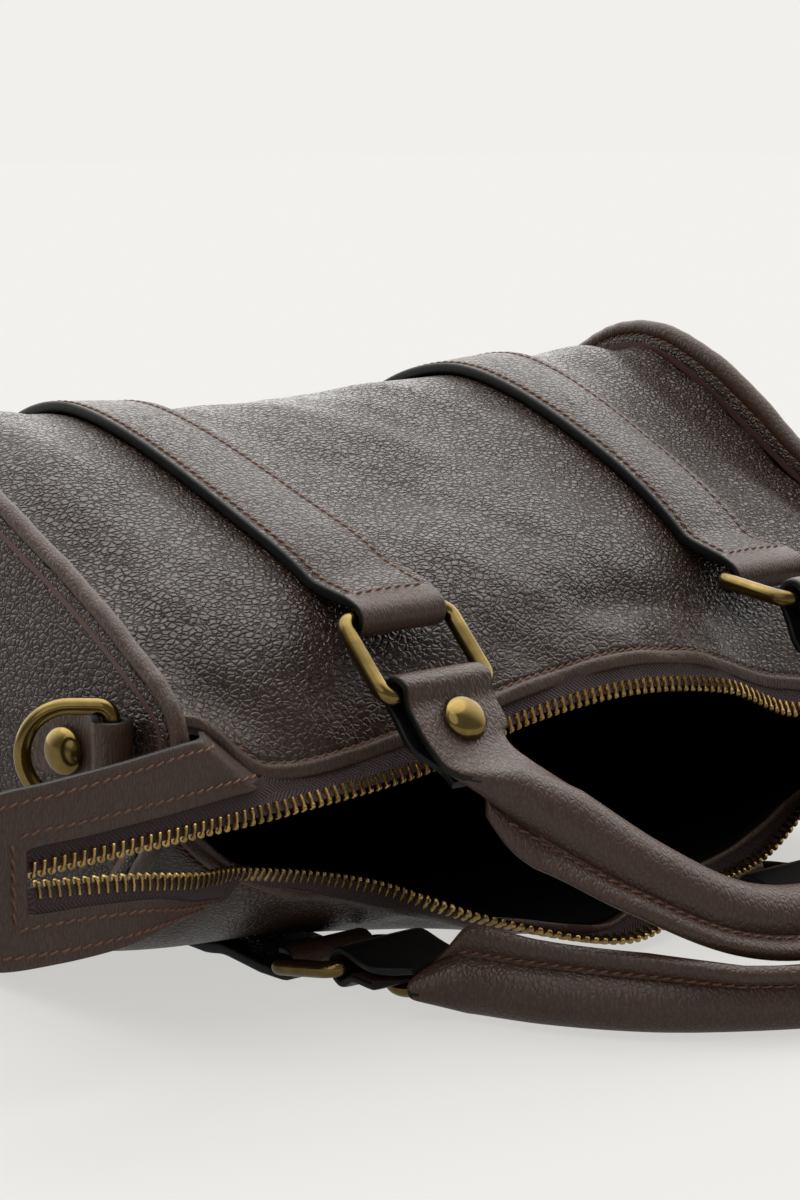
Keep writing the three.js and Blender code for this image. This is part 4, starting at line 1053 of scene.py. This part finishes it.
class CARGOBAG_OT_handles(bpy.types.Operator):
    """Build the rolled handles with their folded tabs, flange stitching and rivets"""

    bl_idname = "cargobag.handles"
    bl_label = "Handles"

    def execute(self, context):
        for name, (face, flap, left, right, rows) in HANDLES.items():
            self.handle(name, np.asarray(face, float), flap, (left, right), np.asarray(rows))
        return {"FINISHED"}

    def handle(self, name, face, flap, downs, rows):
        """Fold, roll and fold again, lofted as one skin along the handle's line.

        Where a tab turns into the roll, the rings are evened out by averages of each ring and its neighbours.
        """
        painted_degrees, sewn_from, seam_out, seam_aside = 24, 0.84, 0.9, 1.55
        folds, shares, rivets = [], [], {}
        for down, (side, end) in zip(downs, SIDES):
            square = quarter_turned(np.array(down, float))
            square = unit(square) * np.sign(square @ face[1:])
            line, rivet, share, behind = handle_fold(f"{name}_{end}", flap, down, square)
            x = side * STRAP_CENTRE
            folds.append(np.column_stack([np.full(len(line), x), line]))
            shares.append(share)
            rivets[end] = lathe(RIVET_PROFILE, [x, *rivet], [0.0, *square])
        first, last = folds[0], folds[1][::-1]
        keys = np.vstack([first[-1], rows[:, :3], last[0]])
        index = np.arange(len(keys))
        t = np.linspace(0, len(keys) - 1, (len(keys) - 1) * 12 + 1)[1:-1]
        middle = through_keys(keys, t)
        points = np.vstack([first, middle, last])
        lead = tangents(np.vstack([first[-1:], middle, last[:1]]))[1:-1]
        along = np.vstack([tangents(first), lead, tangents(last)])
        sideways = np.vstack([np.tile([1.0, 0.0, 0.0], (len(first), 1)), unit(np.cross(face, lead)),
                              np.tile([-1.0, 0.0, 0.0], (len(last), 1))])
        rounds = np.interp(t, index, [0, *rows[:, 3], 0])
        lean = np.radians(np.interp(t, index, [rows[0, 4], *rows[:, 4], rows[-1, 4]]))
        rounds, lean = (np.pad(row, (len(first), len(last))) for row in (rounds, lean))
        widths = np.concatenate([shares[0], np.ones(len(middle)), shares[1][::-1]])
        rings, normal = handle_rings(points, along, sideways, rounds, lean, widths)
        for start in (len(first) - EVENED_ON_TAB, len(first) + len(middle) + EVENED_ON_TAB - EVENED):
            for _ in range(EVEN_PASSES):
                near = rings[start - 1:start + EVENED + 1]
                rings[start:start + EVENED] = (near[:-2] + 2 * near[1:-1] + near[2:]) / 4
        cut = np.full(rings.shape[1], 90.0)
        cut[:len(ROLL_DEGREES)] = np.minimum(np.abs(ROLL_DEGREES), np.abs(ROLL_DEGREES - 180))
        paint = (cut[None, :] < painted_degrees * (1 - 2 * rounds[:-1, None])).astype(int)
        # Painted shade: each flap behind a tab gets the near-black edge paint all over, where its dark
        # leather lies in shade.
        paint[:behind] = paint[-behind:] = 1
        add_piece(f"rolled_handle_{name}", [tube(rings, False, paint.ravel())],
                  [handle_leather(), edge_paint()], [f"handle_{name}"])
        full = np.flatnonzero(rounds > sewn_from)
        cos, sin = np.cos(lean[full])[:, None], np.sin(lean[full])[:, None]
        toward = -normal[full] * cos + sideways[full] * sin
        aside = sideways[full] * cos + normal[full] * sin
        seam = points[full] + toward * (mm("roll_radius") + seam_out)
        lines = [stitches(seam + aside * seam_aside * s, aside * s) for s in (-1, 1)]
        add_piece(f"handle_stitching_{name}", lines, [sewing_thread()])
        for end, rivet in rivets.items():
            add_piece(f"dome_rivet_{name}_{end}", [rivet], [antique_brass()],
                      [f"rivet_{name}_{end}"])


def slot_edge(x, front):
    """Edge of the zip tab's slot at x, [y, z], mirrored for the right end."""
    arm = TAB_ROWS[:6, 3:] if front else TAB_ROWS[-5:, 3:]
    arm = arm[np.argsort(arm[:, 0])]
    return along_table(arm[:, 0], arm[:, 1:], np.clip(-np.abs(x), arm[0, 0], arm[-1, 0]))


def leather_edge(x, front):
    """Line that the zip tape comes out of: the hem or lip in the middle and the tabs' slot at the ends."""
    place = np.full((len(x), 1), 0.0 if front else float(LAST_PLACE))
    clipped = np.clip(x, -HEM_REACH, HEM_REACH)
    edge = skin(clipped, place, np.full((len(x), 1), -mm("wall") / 2))[:, 0, 1:]
    slot = slot_edge(x, front) - np.array([1.0, 0.0])
    share = smooth_step(HEM_REACH - 4, HEM_REACH + 6, np.abs(x))[:, None]
    return np.column_stack([x, edge + (slot - edge) * share])


def tooth_shape():
    """One tooth: rounded-square sections from the clamped foot over a narrow neck to the rounded head."""
    reach = np.array([-2.0, -1.8, -0.2, 0.5, 1.1, 1.7, 1.95])
    wide = np.array([0.42, 0.5, 0.48, 0.42, 0.7, 0.68, 0.42])
    thick = np.array([0.95, 1.2, 1.15, 0.9, 0.95, 0.8, 0.5])
    angle = np.radians(np.arange(8) * 45 + 22.5)
    square = np.stack([np.cos(angle), np.sin(angle)], axis=-1)
    square = np.sign(square) * np.abs(square) ** 0.6
    return np.stack([wide[:, None] * square[:, 0], np.broadcast_to(reach[:, None], (len(reach), len(angle))),
                     thick[:, None] * square[:, 1]], axis=-1)


def square_to(toward):
    """Directions square to the given ones and to X."""
    return np.column_stack([np.zeros(len(toward)), -toward[:, 2], toward[:, 1]])


class CARGOBAG_OT_zip(bpy.types.Operator):
    """Build the zip's two tapes with single brass teeth, and finish its slider"""

    bl_idname = "cargobag.zip"
    bl_label = "Zip"

    def execute(self, context):
        """Tapes reach from the leather's edge to the tooth rows. Teeth stand along that direction, evened."""
        x = np.linspace(-ZIP_END, ZIP_END, 420)
        evened = 31
        for name, column, phase in (("front", 1, 0.0), ("back", 3, 0.5)):
            tooth = np.column_stack([x, along_table(ZIP_ROWS[:, 0], ZIP_ROWS[:, column:column + 2], x)])
            edge = leather_edge(x, name == "front")
            toward = (tooth - edge) * (0, 1, 1)
            reach = np.linalg.norm(toward, axis=1)
            toward = unit(toward)
            self.tape(name, edge, toward, reach, lengths(tooth))
            padded = np.pad(toward, ((evened // 2, evened // 2), (0, 0)), mode="edge")
            windows = np.lib.stride_tricks.sliding_window_view(padded, evened, axis=0)
            self.teeth(name, tooth, unit(np.mean(windows, axis=-1)), phase)
        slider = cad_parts["zip_slider"]
        slider.data.materials.clear()
        slider.data.materials.append(zip_brass())
        return {"FINISHED"}

    def tape(self, name, edge, toward, reach, run):
        """Tape: a thin strip from inside the leather's edge to the middle of the teeth, bowed outwards.

        Its two ends run on inside the leather of the zip tabs.
        """
        inside = 1.2
        edge = edge.copy()
        edge[[0, -1], 0] += (-TAPE_TUCK, TAPE_TUCK)
        normal = square_to(toward)[:, None]
        share = np.linspace(0, 1, 12)
        width = reach[:, None] + inside
        along = width * share - inside
        bow = 0.5 * np.sin(math.pi * share)
        middle = edge[:, None] + toward[:, None] * along[..., None] + normal * bow[:, None]
        strip = slab(middle + normal * CLOTH / 2, middle - normal * CLOTH / 2, 2)
        size = len(strip["points"]) // len(edge)
        across = np.concatenate([share, [1, 1], share[::-1], [0, 0]])
        strip["uv"] = np.stack([np.repeat(run, size), (across * width).ravel()], axis=-1)
        strip["paint"][:] = 0
        add_piece(f"tape_{name}", [strip], [zip_tape()], [f"zip_tape_{name}"])

    def teeth(self, name, tooth, toward, phase):
        """Teeth: one shape set along the row at the pitch, each turned to the row's own direction."""
        run = lengths(tooth)
        pitch = mm("tooth_pitch")
        at = np.arange(1.0 + phase * pitch, run[-1] - 1.0, pitch)
        axes = [at_lengths(rows, run, at) for rows in (tangents(tooth), toward, square_to(toward))]
        row = copies(tooth_shape(), at_lengths(tooth, run, at), axes)
        add_piece(f"teeth_{name}", [row], [zip_brass()], [f"zip_teeth_{name}"], sharp=40)


class CARGOBAG_OT_zip_tabs(bpy.types.Operator):
    """Build the leather tabs round the ends of the zip"""

    bl_idname = "cargobag.zip_tabs"
    bl_label = "Zip tabs"

    def execute(self, context):
        """A tab is a band between its outer edge and the edge of its slot, mirrored at the right end.

        One row of stitching follows the outer edge and the others frame the slot.
        """
        per_row = 10
        upper_corner, lower_corner = 6 * per_row, 11 * per_row
        seam_start, lower_start = 17, 118
        seam, narrowest, largest_share, corner_out = 3.4, 8.2, 0.29, 3.6
        front, up = np.array([0.0, -2.0, 0.0]), np.array([0.0, 0.0, seam])
        for side, name in SIDES:
            rows = TAB_ROWS.copy()
            rows[0] += TAB_DIP
            rows = np.vstack([rows[0] + TAB_TUCK, rows])
            rows[:, [0, 3]] *= -side
            edge, slot = smooth_path(rows[:, :3], per_row), smooth_path(rows[:, 3:], per_row)
            width = np.linalg.norm(slot - edge, axis=1)[:, None]
            inset = (1.0 + (width - 2.0) * np.linspace(0, 1, 12)) / width
            bottom = edge[:, None] + (slot - edge)[:, None] * inset[..., None]
            add_piece(f"tab_{name}", [slab(bottom + front, bottom, 5)], [trim_leather(), edge_paint()],
                      [f"zip_tab_{name}"])
            last = len(width) - int(np.argmax(width[::-1, 0] > narrowest))
            share = np.minimum(seam / width, largest_share)
            outer = (edge + (slot - edge) * share + front)[seam_start:last]
            inner = slot + (edge - slot) * share + front
            upper = slot[upper_corner] + front + np.array([corner_out * side, 0.0, 0.0]) + up
            lower = upper * (1, 1, 0) + (slot[lower_corner] - up) * (0, 0, 1)
            paths = (outer, np.vstack([slot[seam_start:upper_corner] + front + up, upper]),
                     np.linspace(upper, lower, 12), np.vstack([lower, inner[lower_start:last]]))
            lines = [stitches(path, np.tile([0.0, -1.0, 0.0], (len(path), 1))) for path in paths]
            add_piece(f"tab_stitching_{name}", lines, [sewing_thread()])
        return {"FINISHED"}


class CARGOBAG_OT_d_rings(bpy.types.Operator):
    """Build the D-rings on the ends, the leather loops that hold them and their rivets"""

    bl_idname = "cargobag.d_rings"
    bl_label = "D-rings"

    def execute(self, context):
        for side, name in SIDES:
            bar = D_RING_BAR * (side, 1, 1)
            self.ring(side, name, bar)
            self.loop(side, name, bar)
        return {"FINISHED"}

    def ring(self, side, name, bar):
        """D-ring: a straight bar, two small quarter-round corners and a half circle, in one plane."""
        outward = np.array([side * math.sin(D_RING_OPEN), math.cos(D_RING_OPEN), 0.0])
        half, corner, straight = 11.0, 3.0, 9.0
        quarter = np.radians(np.linspace(0, 90, 7))
        upper = np.stack([corner * (1 - np.cos(quarter)), half - corner * (1 - np.sin(quarter))], axis=-1)
        bow = np.radians(np.linspace(90, -90, 25))
        round_ = np.stack([straight + half * np.cos(bow), half * np.sin(bow)], axis=-1)
        flat = np.concatenate([upper, round_, (upper * (1, -1))[::-1]])
        path = bar + flat[:, :1] * outward + flat[:, 1:] * np.array([0.0, 0.0, 1.0])
        ring = wire(path, np.cross(outward, [0.0, 0.0, 1.0]), mm("d_ring_wire") / 2)
        add_piece(f"end_ring_{name}", [ring], [antique_brass()], [f"d_ring_{name}"],
                  rides=f"{name}_d_ring")

    def loop(self, side, name, bar):
        """Loop: a strip folded round the bar, lying double under its rivet, with a rounded free end."""
        length, rivet_at, under, rivet_sag = 28.0, 16.0, -4.0, 1.5
        half_width, tip, tip_radius = 7.1, 6, 7.5
        top = under + FOLD_LEATHER + GAP
        turn = np.radians(np.linspace(80, -110, 11))
        over = FOLD_RADIUS * np.stack([-np.cos(turn), -np.sin(turn)], axis=-1)
        lower = [(length - 1, under), (rivet_at, under)]
        upper = [(rivet_at - 9, top + 1), (rivet_at - 6, top), (rivet_at, top), (length - 1, top)]
        line = smooth_path(np.concatenate([lower, over, upper]), 6)
        normal = quarter_turned(tangents(line))
        along = np.array([side * math.sin(LOOP_TILT), math.cos(LOOP_TILT), 0.0])
        away = np.array([side * math.cos(LOOP_TILT), -math.sin(LOOP_TILT), 0.0])
        end = np.maximum(line[:, 0] - length + tip, 0) / tip_radius
        half = half_width * np.sqrt(np.clip(1 - end ** 2, 0.05, 1))
        across = half[:, None] * np.linspace(-1, 1, 11)
        faces = []
        for lift in (FOLD_LEATHER / 2, -FOLD_LEATHER / 2):
            flat = line + normal * lift
            spine = bar + flat[:, :1] * along + flat[:, 1:] * away
            faces.append(spine[:, None] + across[..., None] * np.array([0.0, 0.0, 1.0]))
        add_piece(f"ring_loop_{name}", [slab(faces[0], faces[1], 4)], [trim_leather(), edge_paint()],
                  [f"d_ring_loop_{name}"])
        spot = bar + rivet_at * along + (top + FOLD_LEATHER / 2 + GAP) * away
        spot[2] -= rivet_sag
        add_piece(f"dome_rivet_end_{name}", [lathe(RIVET_PROFILE, spot, away)], [antique_brass()],
                  [f"rivet_end_{name}"])


class CARGOBAG_OT_stage(bpy.types.Operator):
    """Set the pale floor, the soft lights and the camera"""

    bl_idname = "cargobag.stage"
    bl_label = "Stage"

    def execute(self, context):
        self.floor(context.scene)
        self.sky(context.scene)
        self.lamps(context.scene)
        self.camera(context.scene)
        context.scene.view_settings.view_transform = "Standard"
        return {"FINISHED"}

    def floor(self, scene):
        """Flat pale square under the bag."""
        reach = 6.0
        mesh = bpy.data.meshes.new("floor")
        corners = [(-reach, -reach, 0), (reach, -reach, 0), (reach, reach, 0), (-reach, reach, 0)]
        mesh.from_pydata(corners, [], [(0, 1, 2, 3)])
        mesh.materials.append(floor_acrylic())
        floor = bpy.data.objects.new("floor", mesh)
        scene.collection.objects.link(floor)

    def sky(self, scene):
        """Studio walls: a wide soft glow behind the bag, and an even pale tone where the camera sees them."""
        world = bpy.data.worlds.new("studio")
        world.use_nodes = True
        tree = world.node_tree
        outward = node(tree, "TexCoord", output="Generated")
        behind = {0: outward, 1: (0.45, 0.68, 0.58)}
        toward = node(tree, "VectorMath", behind, "Value", operation="DOT_PRODUCT")
        glow = node(tree, "MapRange", {0: toward, 1: 0.0, 2: 0.85, 3: 0.24, 4: 2.5},
                    interpolation_type="SMOOTHSTEP")
        seen = node(tree, "LightPath", output="Is Camera Ray")
        level = node(tree, "Mix", {"Factor": seen, 2: glow, 3: 0.88})
        set_inputs(tree, tree.nodes["Background"], {"Color": (*linear("#fffefb"), 1.0), "Strength": level})
        scene.world = world

    def lamps(self, scene):
        """Two wide suns as soft boxes, one overhead and a weaker one from the left."""
        lamps = {
            "overhead_softbox": ((0.0, 0.1, 1.0), 0.8, 1.2),
            "left_softbox": ((-1.0, -0.5, 0.85), 0.42, 0.9),
        }
        for name, (back, strength, spread) in lamps.items():
            lamp = bpy.data.lights.new(name, "SUN")
            lamp.energy = strength
            lamp.angle = spread
            holder = bpy.data.objects.new(name, lamp)
            scene.collection.objects.link(holder)
            back = unit(np.asarray(back, float))
            holder.rotation_euler = (math.acos(back[2]), 0.0, math.atan2(back[1], back[0]) + math.pi / 2)

    def camera(self, scene):
        """Camera at the photograph's viewing angle."""
        lens = bpy.data.cameras.new("camera")
        lens.lens = 88.5
        lens.sensor_width = 36.0
        lens.clip_start = 0.01
        camera = bpy.data.objects.new("camera", lens)
        scene.collection.objects.link(camera)
        camera.location = np.array([-499.5, -592.8, 216.6]) * MM + SHIFT
        camera.rotation_euler = (math.radians(80), 0.0, math.radians(-40))
        scene.camera = camera


BUILDERS = (
    CARGOBAG_OT_body, CARGOBAG_OT_ends, CARGOBAG_OT_lining, CARGOBAG_OT_straps, CARGOBAG_OT_rings,
    CARGOBAG_OT_handles, CARGOBAG_OT_zip, CARGOBAG_OT_zip_tabs, CARGOBAG_OT_d_rings, CARGOBAG_OT_stage,
)


class CARGOBAG_PT_panel(bpy.types.Panel):
    """Sizes, colours and builders of the cargo bag"""

    bl_idname = "CARGOBAG_PT_panel"
    bl_label = "Cargo Bag"
    bl_space_type = "VIEW_3D"
    bl_region_type = "UI"
    bl_category = "Cargo Bag"

    def draw(self, context):
        for group in (context.scene.cargo_bag_sizes, context.scene.cargo_bag_colours):
            column = self.layout.column(align=True)
            for name in group.__annotations__:
                column.prop(group, name)
        column = self.layout.column(align=True)
        for builder in BUILDERS:
            column.operator(builder.bl_idname)


CLASSES = (CargoBagSizes, CargoBagColours, *BUILDERS, CARGOBAG_PT_panel)


def register():
    """Registers the classes and hangs the sizes and colours on the scene."""
    for made in CLASSES:
        bpy.utils.register_class(made)
    bpy.types.Scene.cargo_bag_sizes = bpy.props.PointerProperty(type=CargoBagSizes)
    bpy.types.Scene.cargo_bag_colours = bpy.props.PointerProperty(type=CargoBagColours)


def unregister():
    """Takes the sizes, the colours and the classes away again."""
    del bpy.types.Scene.cargo_bag_colours
    del bpy.types.Scene.cargo_bag_sizes
    for made in reversed(CLASSES):
        bpy.utils.unregister_class(made)


def main():
    """Builds every piece and the stage."""
    register()
    bpy.ops.cargobag.body()
    bpy.ops.cargobag.ends()
    bpy.ops.cargobag.lining()
    bpy.ops.cargobag.straps()
    bpy.ops.cargobag.rings()
    bpy.ops.cargobag.handles()
    bpy.ops.cargobag.zip()
    bpy.ops.cargobag.zip_tabs()
    bpy.ops.cargobag.d_rings()
    bpy.ops.cargobag.stage()
    bpy.context.view_layer.update()


if __name__ == "__main__":
    main()
